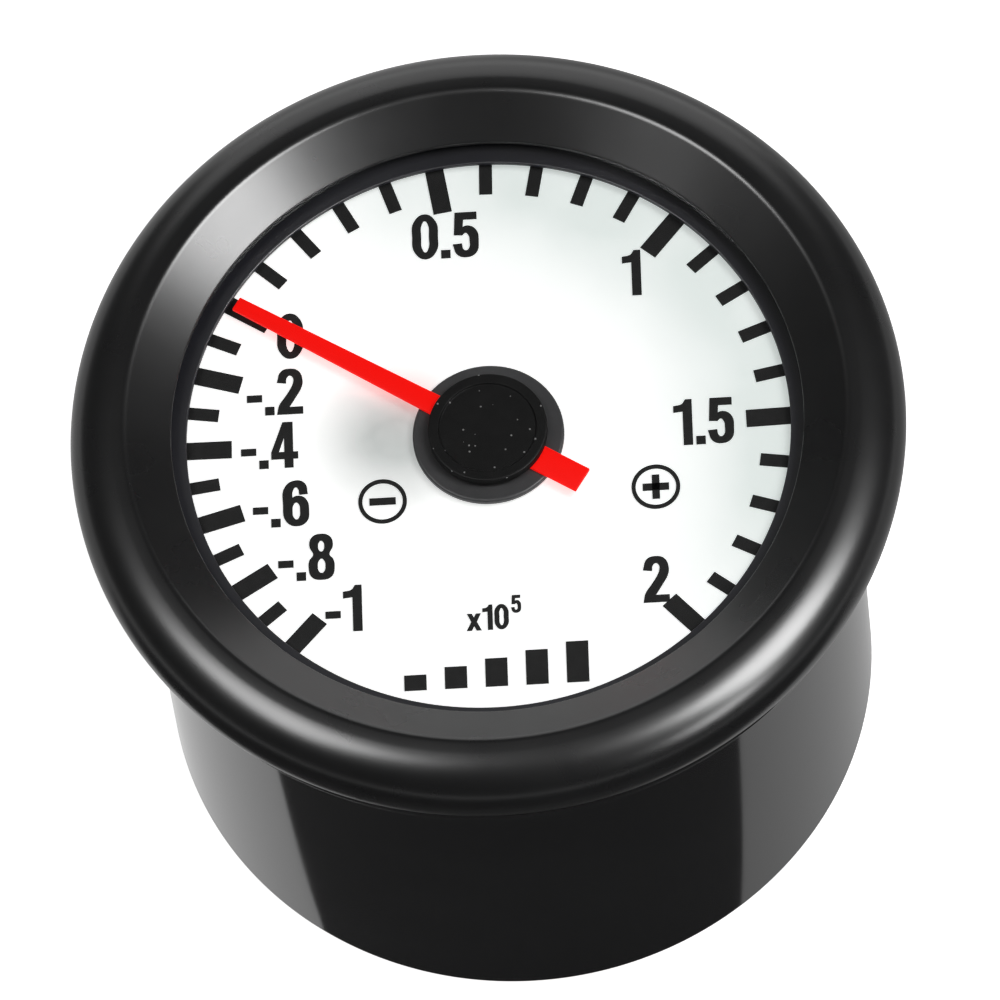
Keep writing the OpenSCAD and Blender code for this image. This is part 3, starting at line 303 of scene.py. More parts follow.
@built_once
def turned_piece(name):
    """Turns a profile of points (radius, 0, height) round the axis, and repeats the turned piece."""
    tree, given = geometry_tree(name, [
        ("Segments", "Int", 128),
        ("Copies", "Int", 1),
        ("Start", "Vector", (0.0, 0.0, 0.0)),
        ("Step", "Vector", (0.0, 0.0, 0.0)),
        ("Merge Distance", "Float", 0.000001),
    ])
    counted = put(tree, "GeometryNodeAttributeDomainSize", component="MESH", Geometry=given["Geometry"])
    across = sum_of(tree, "ADD", given["Segments"], 1.0)
    grid = put(tree, "GeometryNodeMeshGrid", Size_X=1.0, Size_Y=1.0, Vertices_X=counted.outputs["Point Count"],
               Vertices_Y=across)
    index = tree.nodes.new("GeometryNodeInputIndex").outputs[0]
    row = sum_of(tree, "FLOOR", sum_of(tree, "DIVIDE", sum_of(tree, "ADD", index, 0.5), across))
    column = sum_of(tree, "SUBTRACT", index, sum_of(tree, "MULTIPLY", row, across))
    angle = sum_of(tree, "DIVIDE", sum_of(tree, "MULTIPLY", column, 2 * math.pi), given["Segments"])
    sampled = put(tree, "GeometryNodeSampleIndex", data_type="FLOAT_VECTOR", domain="POINT",
                  Geometry=given["Geometry"], Index=row,
                  Value=tree.nodes.new("GeometryNodeInputPosition").outputs[0])
    apart = put(tree, "ShaderNodeSeparateXYZ", Vector=sampled.outputs["Value"])
    together = put(tree, "ShaderNodeCombineXYZ",
                   X=sum_of(tree, "MULTIPLY", apart.outputs["X"], sum_of(tree, "COSINE", angle)),
                   Y=sum_of(tree, "MULTIPLY", apart.outputs["X"], sum_of(tree, "SINE", angle)),
                   Z=apart.outputs["Z"])
    placed = put(tree, "GeometryNodeSetPosition", Geometry=grid.outputs["Mesh"], Position=together.outputs[0])
    merged = put(tree, "GeometryNodeMergeByDistance", Geometry=placed.outputs[0], Distance=given["Merge Distance"])
    return ended(tree, given, repeated(tree, given, merged.outputs[0]))


@built_once
def screw_thread(name):
    """Winds a ridge round a rod, from a start along the axis, and repeats it."""
    tree, given = geometry_tree(name, [
        ("Radius", "Float", 0.002),
        ("Length", "Float", 0.01),
        ("Pitch", "Float", 0.0007),
        ("Ridge", "Float", 0.0003),
        ("Turn Steps", "Int", 40),
        ("Copies", "Int", 1),
        ("Start", "Vector", (0.0, 0.0, 0.0)),
        ("Step", "Vector", (0.0, 0.0, 0.0)),
    ])
    spiral = put(tree, "GeometryNodeCurveSpiral", Resolution=given["Turn Steps"],
                 Rotations=sum_of(tree, "DIVIDE", given["Length"], given["Pitch"]),
                 Start_Radius=given["Radius"], End_Radius=given["Radius"], Height=given["Length"])
    ridge = put(tree, "GeometryNodeCurvePrimitiveCircle", Resolution=4, Radius=given["Ridge"])
    swept = put(tree, "GeometryNodeCurveToMesh", Fill_Caps=True, Curve=spiral.outputs[0],
                Profile_Curve=ridge.outputs[0])
    return ended(tree, given, repeated(tree, given, swept.outputs[0]))


@built_once
def scale_arc(name):
    """Lays short and long marks along an arc of the dial."""
    tree, given = geometry_tree(name, [
        ("Marks", "Int", 10),
        ("First", "Float", 0.0),
        ("Turn", "Float", 0.1),
        ("Long Every", "Int", 5),
        ("Offset", "Int", 0),
        ("Outer Radius", "Float", 0.0224),
        ("Long Length", "Float", 0.0039),
        ("Short Length", "Float", 0.0028),
        ("Long Width", "Float", 0.00135),
        ("Short Width", "Float", 0.00095),
        ("Height", "Float", 0.00255),
        ("Thickness", "Float", 0.0001),
    ])
    number = sum_of(tree, "ADD", tree.nodes.new("GeometryNodeInputIndex").outputs[0], given["Offset"])
    angle = sum_of(tree, "ADD", given["First"], sum_of(tree, "MULTIPLY", number, given["Turn"]))
    is_long = sum_of(tree, "LESS_THAN", sum_of(tree, "MODULO", number, given["Long Every"]), 0.5)

    def chosen(size):
        span = sum_of(tree, "SUBTRACT", given["Long " + size], given["Short " + size])
        return sum_of(tree, "MULTIPLY_ADD", span, is_long, given["Short " + size])

    reach = chosen("Length")
    middle = sum_of(tree, "SUBTRACT", given["Outer Radius"], sum_of(tree, "MULTIPLY", reach, 0.5))
    where = put(tree, "ShaderNodeCombineXYZ", X=sum_of(tree, "MULTIPLY", middle, sum_of(tree, "COSINE", angle)),
                Y=sum_of(tree, "MULTIPLY", middle, sum_of(tree, "SINE", angle)), Z=given["Height"])
    points = put(tree, "GeometryNodePoints", Count=given["Marks"], Position=where.outputs[0])
    size = put(tree, "ShaderNodeCombineXYZ", X=reach, Y=chosen("Width"), Z=given["Thickness"])
    mark = put(tree, "GeometryNodeMeshCube", Size=(1.0, 1.0, 1.0))
    laid = put(tree, "GeometryNodeInstanceOnPoints", Points=points.outputs[0], Instance=mark.outputs["Mesh"],
               Rotation=put(tree, "ShaderNodeCombineXYZ", Z=angle).outputs[0], Scale=size.outputs[0])
    return ended(tree, given, laid.outputs[0])


def shader_group(name, inputs, outputs):
    """An empty shader group with named inputs and outputs."""
    group = bpy.data.node_groups.new(name, "ShaderNodeTree")
    for label, kind, default in inputs:
        group.interface.new_socket(label, in_out="INPUT", socket_type="NodeSocket" + kind).default_value = default
    for label, kind in outputs:
        group.interface.new_socket(label, in_out="OUTPUT", socket_type="NodeSocket" + kind)
    return group, group.nodes.new("NodeGroupInput").outputs, group.nodes.new("NodeGroupOutput").inputs


@built_once
def moulded_grain(name):
    """Fine grain with a broad unevenness, for moulded, painted and metal skins."""
    group, given, result = shader_group(name, [
        ("Grain Scale", "Float", 9000.0),
        ("Cloud Scale", "Float", 120.0),
        ("Roughness", "Float", 0.4),
        ("Spread", "Float", 0.05),
    ], [("Roughness", "Float"), ("Height", "Float")])
    place = object_place(group)
    grain = put(group, "ShaderNodeTexNoise", Detail=2.0, Vector=place, Scale=given["Grain Scale"])
    cloud = put(group, "ShaderNodeTexNoise", Detail=3.0, Vector=place, Scale=given["Cloud Scale"])
    swing = sum_of(group, "MULTIPLY", sum_of(group, "SUBTRACT", cloud.outputs["Fac"], 0.5), 2.0)
    rough = sum_of(group, "MULTIPLY_ADD", swing, given["Spread"], given["Roughness"])
    feed(group, rough, result["Roughness"])
    feed(group, grain.outputs["Fac"], result["Height"])
    return group


@built_once
def handled_colour(name):
    """A skin's colour with faint clouds of wear and settled dust in it."""
    group, given, result = shader_group(name, [
        ("Colour", "Color", (0.5, 0.5, 0.5, 1.0)),
        ("Worn Colour", "Color", (0.6, 0.6, 0.6, 1.0)),
        ("Scale", "Float", 150.0),
        ("Amount", "Float", 0.3),
    ], [("Colour", "Color")])
    cloud = put(group, "ShaderNodeTexNoise", Detail=5.0, Roughness=0.62, Vector=object_place(group),
                Scale=given["Scale"])
    span = put(group, "ShaderNodeMapRange", From_Min=0.42, From_Max=0.68, To_Min=0.0, To_Max=1.0,
               Value=cloud.outputs["Fac"])
    mask = sum_of(group, "MULTIPLY", span.outputs[0], given["Amount"])
    feed(group, mixed(group, mask, given["Colour"], given["Worn Colour"]), result["Colour"])
    return group


@built_once
def turned_lines(name):
    """Fine rings round an upright axis, as a lathe leaves them."""
    group, given, result = shader_group(name, [
        ("Centre", "Vector", (0.0, 0.0, 0.0)),
        ("Lines", "Float", 30000.0),
    ], [("Height", "Float")])
    place = object_place(group)
    flat = vector_of(group, "MULTIPLY", vector_of(group, "SUBTRACT", place, given["Centre"]), (1.0, 1.0, 0.0))
    height = put(group, "ShaderNodeSeparateXYZ", Vector=place).outputs["Z"]
    along = sum_of(group, "ADD", vector_of(group, "LENGTH", flat), height)
    wave = sum_of(group, "SINE", sum_of(group, "MULTIPLY", along, given["Lines"]))
    noise = put(group, "ShaderNodeTexNoise", Scale=900.0, Detail=2.0, Vector=place)
    feed(group, sum_of(group, "MULTIPLY", wave, noise.outputs["Fac"]), result["Height"])
    return group


@built_once
def bright_specks(name):
    """Scattered tiny bright points."""
    group, given, result = shader_group(name, [
        ("Scale", "Float", 2200.0),
        ("Size", "Float", 0.2),
    ], [("Mask", "Float")])
    cells = put(group, "ShaderNodeTexVoronoi", feature="F1", Vector=object_place(group), Scale=given["Scale"])
    near = sum_of(group, "LESS_THAN", cells.outputs["Distance"], given["Size"])
    rare = put(group, "ShaderNodeSeparateColor")
    feed(group, cells.outputs["Color"], rare.inputs[0])
    mask = sum_of(group, "MULTIPLY", near, sum_of(group, "GREATER_THAN", rare.outputs[0], 0.82))
    feed(group, mask, result["Mask"])
    return group


# ---------------------------------------------------------------- materials


def skin(name, colour_value, worn=None, amount=0.3, wear_scale=150.0, roughness=0.4, spread=0.06,
         metallic=0.0, grain=9000.0, cloud=120.0, bump=0.15, depth=0.00002, coat=0.0, lines=None, centre=(0, 0, 0),
         specular=0.5):
    """A Principled material whose colour, roughness and bump come from the shared groups."""
    material = bpy.data.materials.get(name)
    if material:
        return material
    material = bpy.data.materials.new(name)
    material.use_nodes = True
    tree = material.node_tree
    shader = tree.nodes["Principled BSDF"]
    shader.inputs["Metallic"].default_value = metallic
    shader.inputs["Coat Weight"].default_value = coat
    shader.inputs["Coat Roughness"].default_value = 0.04
    shader.inputs["Specular IOR Level"].default_value = specular
    worn = worn or [min(1.0, c * 1.6 + 0.01) for c in colour_value]
    tone = put(tree, "ShaderNodeGroup", node_tree=handled_colour(), Colour=(*colour_value, 1.0),
               Worn_Colour=(*worn, 1.0), Scale=wear_scale, Amount=amount)
    texture = put(tree, "ShaderNodeGroup", node_tree=moulded_grain(), Grain_Scale=grain, Cloud_Scale=cloud,
                  Roughness=roughness, Spread=spread)
    height = texture.outputs["Height"]
    if lines:
        turned = put(tree, "ShaderNodeGroup", node_tree=turned_lines(), Centre=centre, Lines=lines)
        height = sum_of(tree, "ADD", height, turned.outputs["Height"])
    raised = put(tree, "ShaderNodeBump", Strength=bump, Distance=depth, Height=height)
    for source, target in ((tone.outputs["Colour"], "Base Color"), (texture.outputs["Roughness"], "Roughness"),
                           (raised.outputs["Normal"], "Normal")):
        feed(tree, source, shader.inputs[target])
    return material


def bezel_satin():
    return skin("satin_black_bezel", finish().bezel, amount=0.25, wear_scale=90.0, roughness=0.28, spread=0.03,
                grain=14000.0, cloud=160.0, bump=0.10, depth=0.00001)


def barrel_gloss():
    return skin("gloss_black_barrel", finish().barrel, amount=0.15, wear_scale=60.0, roughness=0.075, spread=0.02,
                grain=2500.0, cloud=90.0, bump=0.03, depth=0.00001, coat=0.0)


def black_rubber():
    return skin("soft_black_rubber", finish().rubber, amount=0.5, wear_scale=400.0, roughness=0.72, spread=0.08,
                grain=9000.0, bump=0.3)


def trim_black():
    return skin("navy_black_trim", finish().trim, amount=0.2, roughness=0.38, spread=0.05, grain=12000.0, bump=0.1)


def print_black():
    return skin("printed_black_ink", finish().ink, amount=0.4, wear_scale=900.0, roughness=0.60, spread=0.08,
                grain=16000.0, bump=0.1, specular=0.15)


def brass(centre=(0, 0, 0)):
    name = "turned_brass" if centre == (0, 0, 0) else "turned_brass_port"
    return skin(name, finish().brass, worn=(0.55, 0.36, 0.15), amount=0.5, wear_scale=260.0, roughness=0.27,
                spread=0.09, metallic=1.0, grain=8000.0, bump=0.15, lines=26000.0, centre=centre)


def steel():
    return skin("bright_steel", finish().steel, worn=(0.40, 0.39, 0.38), amount=0.35, wear_scale=420.0,
                roughness=0.28, spread=0.08, metallic=1.0, lines=34000.0, bump=0.12)


def zinc():
    return skin("zinc_plating", finish().zinc, worn=(0.46, 0.45, 0.40), amount=0.5, wear_scale=320.0, roughness=0.34,
                spread=0.10, metallic=1.0, grain=6000.0, bump=0.15)


def copper():
    return skin("soft_copper", finish().copper, worn=(0.40, 0.16, 0.09), amount=0.6, wear_scale=300.0, roughness=0.36,
                spread=0.08, metallic=1.0, bump=0.15)


def bronze():
    return skin("drawn_bronze", finish().bronze, worn=(0.45, 0.24, 0.10), amount=0.5, wear_scale=300.0, roughness=0.3,
                spread=0.08, metallic=1.0, bump=0.12)


def board_green():
    return skin("green_board_mask", finish().board, amount=0.4, wear_scale=700.0, roughness=0.35, coat=0.5, bump=0.1)


def lamp_yellow():
    return skin("amber_lamp_body", (0.85, 0.62, 0.10), amount=0.3, wear_scale=900.0, roughness=0.3, bump=0.05)


def parts_black():
    return skin("black_resistor_body", (0.02, 0.02, 0.022), amount=0.4, wear_scale=900.0, roughness=0.5)


def tray_white():
    return skin("white_tray_plastic", (0.78, 0.78, 0.76), worn=(0.66, 0.66, 0.62), amount=0.3, roughness=0.5)


def clear_plastic():
    """The light guide under the dial: clear, with a faint edge tint."""
    material = skin("clear_guide_plastic", (0.86, 0.93, 0.95), worn=(0.80, 0.90, 0.92), amount=0.3, roughness=0.08,
                    spread=0.03, bump=0.03)
    shader = material.node_tree.nodes["Principled BSDF"]
    shader.inputs["Transmission Weight"].default_value = 1.0
    shader.inputs["IOR"].default_value = 1.49
    return material


def lens_clear():
    """The thin lens: it shows only what it mirrors, more of it towards its edge."""
    material = bpy.data.materials.get("clear_lens")
    if material:
        return material
    material = skin("clear_lens", (0.95, 0.97, 0.97), amount=0.2, roughness=0.03, spread=0.012,
                    grain=1200.0, cloud=60.0, bump=0.01, depth=0.00001)
    tree = material.node_tree
    shader = tree.nodes["Principled BSDF"]
    shader.inputs["Metallic"].default_value = 1.0
    mirror = put(tree, "ShaderNodeFresnel", IOR=1.36)
    # the lens mirrors only on the side that faces the eye: from inside, a slanting ray would see a full mirror
    inside = tree.nodes.new("ShaderNodeNewGeometry").outputs["Backfacing"]
    feed(tree, sum_of(tree, "MULTIPLY", mirror.outputs[0], sum_of(tree, "SUBTRACT", 1.0, inside)),
         shader.inputs["Alpha"])
    material.surface_render_method = "BLENDED"
    return material


def dial_white():
    """The dial: white, with a painted glow that stands in for the lamps behind it, a painted shade that makes it a
    little dimmer and greener to one side, and a painted shadow beside the hub.
    """
    material = bpy.data.materials.get("white_dial_with_painted_light")
    if material:
        return material
    look = finish()
    material = skin("white_dial_with_painted_light", look.dial, worn=[c * 0.985 for c in look.dial], amount=0.3, wear_scale=500.0,
                    roughness=0.55, spread=0.06, grain=9000.0, bump=0.08, specular=0.15)
    tree = material.node_tree
    shader = tree.nodes["Principled BSDF"]
    place = object_place(tree)
    # each measure, its range, and the values at the range's ends
    measures = (
        # painted shade: dimmer and greener towards the upper right and towards the edge
        (vector_of(tree, "DOT_PRODUCT", place, (0.80, 0.60, 0.0)), 0.0, 0.014, 0.0, 1.0),
        (vector_of(tree, "LENGTH", place), 0.010, 0.019, 0.0, 1.0),
        # painted shadow of the hub, on its left
        (vector_of(tree, "DISTANCE", place, (-0.0068, 0.0004, 0.0025)), 0.0015, 0.0062, 1.0, 0.0),
    )
    side, rim, painted_hub_shadow = [
        put(tree, "ShaderNodeMapRange", Value=measure, From_Min=start, From_Max=end, To_Min=first,
            To_Max=last).outputs[0]
        for measure, start, end, first, last in measures]
    cloud = put(tree, "ShaderNodeTexNoise", Scale=140.0, Detail=3.0, Vector=place).outputs["Fac"]
    # painted shadow beside the hub: a darker grey-green, mottled by the noise
    colour_with_hub_shadow = mixed(tree, sum_of(tree, "MULTIPLY", painted_hub_shadow, sum_of(tree, "ADD", cloud, 0.4)),
                   shader.inputs["Base Color"].links[0].from_socket, (*[c * 0.55 for c in look.dial_painted_shade], 1.0))
    # painted shade towards the dial's upper right edge, mottled by the noise
    painted_side_shade = sum_of(tree, "MULTIPLY", sum_of(tree, "MULTIPLY", side, rim), sum_of(tree, "ADD", cloud, 0.5))
    colour_with_painted_shade = mixed(tree, painted_side_shade, colour_with_hub_shadow, (*look.dial_painted_shade, 1.0))
    feed(tree, colour_with_painted_shade, shader.inputs["Base Color"])
    feed(tree, colour_with_painted_shade, shader.inputs["Emission Color"])
    # painted glow: the dial gives off light of its own, in the colours of its painted shade too
    shader.inputs["Emission Strength"].default_value = look.glow
    return material


def needle_red():
    """The needle's bright red paint, with a painted glow of its own that makes it brighter."""
    look = finish()
    material = skin("red_needle_paint_with_painted_glow", look.needle, worn=(0.72, 0.006, 0.001), amount=0.25, wear_scale=500.0,
                    roughness=0.42, spread=0.05, grain=12000.0, bump=0.06)
    shader = material.node_tree.nodes["Principled BSDF"]
    # painted glow: the needle gives off red light of its own, though it is no lamp
    shader.inputs["Emission Color"].default_value = (*look.needle, 1.0)
    shader.inputs["Emission Strength"].default_value = 0.72
    shader.inputs["Specular IOR Level"].default_value = 0.06
    return material


def hub_grey():
    return skin("grey_hub_plastic", finish().skirt, amount=0.3, wear_scale=500.0, roughness=0.45, spread=0.06,
                bump=0.1, specular=0.3)


def hub_black():
    """The hub's cap: black with a few tiny bright points."""
    material = bpy.data.materials.get("black_cap_plastic")
    if material:
        return material
    material = skin("black_cap_plastic", finish().cap, amount=0.3, wear_scale=700.0, roughness=0.5, spread=0.1,
                    bump=0.1, specular=0.1)
    tree = material.node_tree
    shader = tree.nodes["Principled BSDF"]
    specks = put(tree, "ShaderNodeGroup", node_tree=bright_specks(), Scale=2300.0, Size=0.16)
    lit = mixed(tree, specks.outputs["Mask"], shader.inputs["Base Color"].links[0].from_socket,
                (0.42, 0.42, 0.42, 1.0))
    feed(tree, lit, shader.inputs["Base Color"])
    return material


# ---------------------------------------------------------------- mesh helpers


def rounded(corners, steps=6, keep=0.06):
    """A profile in millimetres with its corners rounded.

    Each corner is (radius from the axis, height) or (radius, height, fillet). A fillet gets a
    point just before and just after it, so that the flat faces beside it stay evenly shaded."""
    points = []
    count = len(corners)
    for i, corner in enumerate(corners):
        here = Vector(corner[:2])
        fillet = corner[2] if len(corner) > 2 else 0.0
        if not fillet:
            points.append(here)
            continue
        before = (Vector(corners[i - 1][:2]) - here).normalized()
        after = (Vector(corners[(i + 1) % count][:2]) - here).normalized()
        half = before.angle(after) / 2
        run = fillet / math.tan(half)
        middle = here + (before + after).normalized() * (fillet / math.sin(half))
        first, last = here + before * run - middle, here + after * run - middle
        turn = first.angle_signed(last)
        points.append(here + before * (run + keep))
        for step in range(steps + 1):
            spin = -turn * step / steps
            points.append(middle + Vector((
                first.x * math.cos(spin) - first.y * math.sin(spin),
                first.x * math.sin(spin) + first.y * math.cos(spin))))
        points.append(here + after * (run + keep))
    return [(max(0.0, p.x), p.y) for p in points]


def new_object(name, mesh):
    piece = bpy.data.objects.new(name, mesh)
    bpy.context.scene.collection.objects.link(piece)
    return piece


def mesh_from(name, work, material=None):
    """A mesh from a bmesh, which is freed, with one material or none."""
    mesh = bpy.data.meshes.new(name)
    work.to_mesh(mesh)
    work.free()
    if material:
        mesh.materials.append(material)
    return mesh


def profile_object(name, points):
    """An object that holds only a profile's points, in millimetres; it closes unless both ends lie on the axis."""
    mesh = bpy.data.meshes.new(name)
    ring = list(points) + ([points[0]] if points[0][0] or points[-1][0] else [])
    mesh.from_pydata([(r * MM, 0.0, z * MM) for r, z in ring], [], [])
    return new_object(name, mesh)


def settle(piece, sharp=35.0):
    """Turns a piece and its modifiers into a plain smooth-shaded mesh, and tests that it faces outwards."""
    evaluated = piece.evaluated_get(bpy.context.evaluated_depsgraph_get())
    mesh = bpy.data.meshes.new_from_object(evaluated)
    material = next(m for m in mesh.materials if m) if any(mesh.materials) else None
    mesh.materials.clear()
    mesh.materials.append(material)
    mesh.polygons.foreach_set("material_index", [0] * len(mesh.polygons))
    piece.modifiers.clear()
    piece.data = mesh
    mesh.name = piece.name
    mesh.shade_smooth()
    mesh.set_sharp_from_angle(angle=math.radians(sharp))
    work = bmesh.new()
    work.from_mesh(mesh)
    volume = work.calc_volume(signed=True)
    open_edges = sum(1 for edge in work.edges if not edge.is_manifold)
    work.free()
    if volume <= 0 or open_edges:
        raise RuntimeError(f"{piece.name}: volume {volume * 1e9:.2f} mm3, {open_edges} open edges")
    return piece


def turn(name, points, material, segments=None, centre=(0.0, 0.0), step=(0.0, 0.0), copies=1, sharp=35.0):
    """A turned piece from its profile, clockwise with the radius to the right and the height up."""
    piece = profile_object(name, points)
    set_inputs(piece.modifiers.new("turned", "NODES"), turned_piece(), Segments=segments or sizes().segments,
               Copies=copies, Start=(centre[0] * MM, centre[1] * MM, 0.0), Step=(step[0] * MM, step[1] * MM, 0.0),
               Merge_Distance=0.0000005, Material=material)
    return settle(piece, sharp)


def joined(name, pieces):
    """One object from several plain ones."""
    work = bmesh.new()
    material = pieces[0].data.materials[0]
    for piece in pieces:
        work.from_mesh(piece.data)
    mesh = mesh_from(name, work, material)
    for polygon in mesh.polygons:
        polygon.material_index = 0
    for piece in pieces:
        bpy.data.objects.remove(piece)
    return new_object(name, mesh)


def from_work(name, work, material, sharp=35.0):
    """A plain object from a bmesh, with one material."""
    bmesh.ops.recalc_face_normals(work, faces=work.faces)
    return settle(new_object(name, mesh_from(name, work, material)), sharp)


def band(work, one, two):
    """Adds the faces between two closed loops of a bmesh's vertices."""
    for i in range(len(one)):
        j = (i + 1) % len(one)
        work.faces.new((one[i], one[j], two[j], two[i]))


def prism(work, outline, low, high):
    """Adds an upright prism to a bmesh from an outline in millimetres."""
    bottom = [work.verts.new((x * MM, y * MM, low * MM)) for x, y in outline]
    top = [work.verts.new((x * MM, y * MM, high * MM)) for x, y in outline]
    work.faces.new(list(reversed(bottom)))
    work.faces.new(top)
    band(work, bottom, top)


def circle_outline(radius, count=48, centre=(0.0, 0.0)):
    return [(centre[0] + radius * math.cos(2 * math.pi * i / count),
             centre[1] + radius * math.sin(2 * math.pi * i / count)) for i in range(count)]


def cut_away(piece, outlines, sharp=35.0):
    """Cuts upright openings, given as (outline, low, high) in millimetres, out of a piece."""
    work = bmesh.new()
    for outline, low, high in outlines:
        prism(work, outline, low, high)
    cutter = new_object("cutter", mesh_from("cutter", work))
    cut = piece.modifiers.new("openings", "BOOLEAN")
    cut.operation, cut.solver, cut.object = "DIFFERENCE", "EXACT", cutter
    settle(piece, sharp)
    bpy.data.objects.remove(cutter)
    return piece


def chamfered_nut(work, across_flats, bore, low, high, centre):
    """Adds a hexagon nut to a bmesh: its corners are turned off, which leaves arcs on its flats."""
    count, slope = 96, math.tan(math.radians(30))
    face = across_flats / 2 * 0.97
    rings = []

    def ring(radius_of, height_of):
        made = []
        for i in range(count):
            angle = 2 * math.pi * i / count
            radius = radius_of(angle)
            made.append(work.verts.new((
                (centre[0] + radius * math.cos(angle)) * MM,
                (centre[1] + radius * math.sin(angle)) * MM,
                height_of(angle) * MM)))
        rings.append(made)

    def flat(angle):
        return across_flats / 2 / math.cos((angle + math.pi / 6) % (math.pi / 3) - math.pi / 6)

    def drop(angle):
        return (flat(angle) - face) * slope

    bore_edge = bore + 0.25
    ring(lambda a: bore, lambda a: high - 0.2)
    ring(lambda a: bore_edge, lambda a: high)
    ring(lambda a: face, lambda a: high)
    ring(flat, lambda a: high - drop(a))
    ring(flat, lambda a: low + drop(a))
    ring(lambda a: face, lambda a: low)
    ring(lambda a: bore_edge, lambda a: low)
    ring(lambda a: bore, lambda a: low + 0.2)
    for here, there in zip(rings, rings[1:] + rings[:1]):
        for i in range(count):
            j = (i + 1) % count
            work.faces.new((here[i], there[i], there[j], here[j]))


def box_of(name):
    """The low and the high corner of a CAD node's box, in millimetres."""
    return [Corner(*[value / MM for value in corner]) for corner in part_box(name)]


def screw_places():
    """How far the two screws of the back lie from the middle, and at what height, in millimetres."""
    low, high = box_of("block_screws")
    return high.x - SCREW_HEAD, (low.y + high.y) / 2


def swung(points, degrees, centre=(0.0, 0.0)):
    """Flat points turned about the origin and then moved to a centre."""
    cosine, sine = math.cos(math.radians(degrees)), math.sin(math.radians(degrees))
    return [(centre[0] + x * cosine - y * sine, centre[1] + x * sine + y * cosine) for x, y in points]


def block(at, wide, tall):
    """The corners of an upright rectangle round a middle."""
    return [(at[0] + x * wide / 2, at[1] + y * tall / 2) for x, y in ((-1, -1), (1, -1), (1, 1), (-1, 1))]


def flat_ring(name, node, bore, material, fillet, segments=None, centre=(0.0, 0.0), **repeat):
    """Turns a flat ring with rounded outer edges, as high and as wide as a CAD node."""
    low, high = box_of(node)
    outer = high.x - abs(centre[0])
    ring = rounded([(bore, high.z), (outer, high.z, fillet), (outer, low.z, fillet), (bore, low.z)])
    return turn(name, ring, material, segments=segments, centre=centre, **repeat)


def ride_for(piece, body, slot, *nodes):
    """Hands a finished piece over to its body and hides the CAD nodes that it stands for; its slot is not used."""
    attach(piece, body)
    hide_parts(*nodes)


# ---------------------------------------------------------------- operators


class GAUGE_OT_bezel(bpy.types.Operator):
    """Turns the satin bezel and the seal under it"""

    bl_idname = "gauge.bezel"
    bl_label = "Bezel and Seal"

    def execute(self, context):
        s = context.scene.gauge_sizes
        low, high = box_of("bezel")
        wide, foot_z, top_z = high.x, low.z, high.z
        foot, mid_z, crease = s.foot_radius / MM, s.wide_height / MM, s.crease_radius / MM
        lip, lip_z, lip_t = s.lip_radius / MM, s.lip_height / MM, s.lip_thickness / MM
        bore = s.barrel_radius / MM + 0.02
        over, under, hidden_by_fillet = 28, 16, 3
        outside = [(crease + (wide - crease) * math.sin(math.pi / 2 * i / over),
                    mid_z + (top_z - mid_z) * math.cos(math.pi / 2 * i / over)) for i in range(1, over)]
        outside += [(foot + (wide - foot) * math.cos(math.pi / 2 * i / under),
                     mid_z - (mid_z - foot_z) * math.sin(math.pi / 2 * i / under)) for i in range(under)]
        points = rounded([
            (lip, lip_z, 0.12),
            (crease, top_z, s.crease_fillet / MM),
            *outside[hidden_by_fillet:],
            (foot, foot_z, 0.1),
            (bore, foot_z),
            (bore, lip_z - lip_t),
            (lip, lip_z - lip_t),
        ])
        ride_for(turn("bezel_ring", points, bezel_satin()), "housing", "bezel_satin", "bezel")
        seal = flat_ring("seal_ring", "bezel_seal", bore, black_rubber(), 0.25)
        ride_for(seal, "housing", "seal_rubber", "bezel_seal")
        return {"FINISHED"}


class GAUGE_OT_barrel(bpy.types.Operator):
    """Turns the gloss black barrel with its flange and cuts the openings in its back"""

    bl_idname = "gauge.barrel"
    bl_label = "Barrel"

    def execute(self, context):
        s = context.scene.gauge_sizes
        low, high = box_of("barrel")
        radius, flange = s.barrel_radius / MM, high.x
        top, back = high.z, low.z
        bore, mouth, floor = radius - BARREL_WALL, radius - MOUTH_WALL, back + BACK_WALL
        points = rounded([
            (0.0, floor),
            (bore, floor, 0.5),
            (bore, MOUTH_FLOOR),
            (mouth, MOUTH_FLOOR),
            (mouth, top),
            (radius, top),
            (radius, FLANGE, 0.15),
            (flange, FLANGE, 0.05),
            (flange, 0.0, 0.25),
            (radius, 0.0, 0.2),
            (radius, back, s.barrel_fillet / MM),
            (0.0, back),
        ])
        barrel = turn("barrel_cup", points, barrel_gloss())
        x, y = screw_places()
        holes = [(PORT_AT, PORT_HOLE), (INLET_AT, 4.0), ((STUD_X, STUD_Y), STUD_HOLE),
                 ((-STUD_X, STUD_Y), STUD_HOLE), ((x, y), 1.1), ((-x, y), 1.1)]
        cut_away(barrel, [(circle_outline(r, 64, at), back - 1.0, floor + 1.0) for at, r in holes])
        ride_for(barrel, "housing", "barrel_gloss", "barrel")
        return {"FINISHED"}


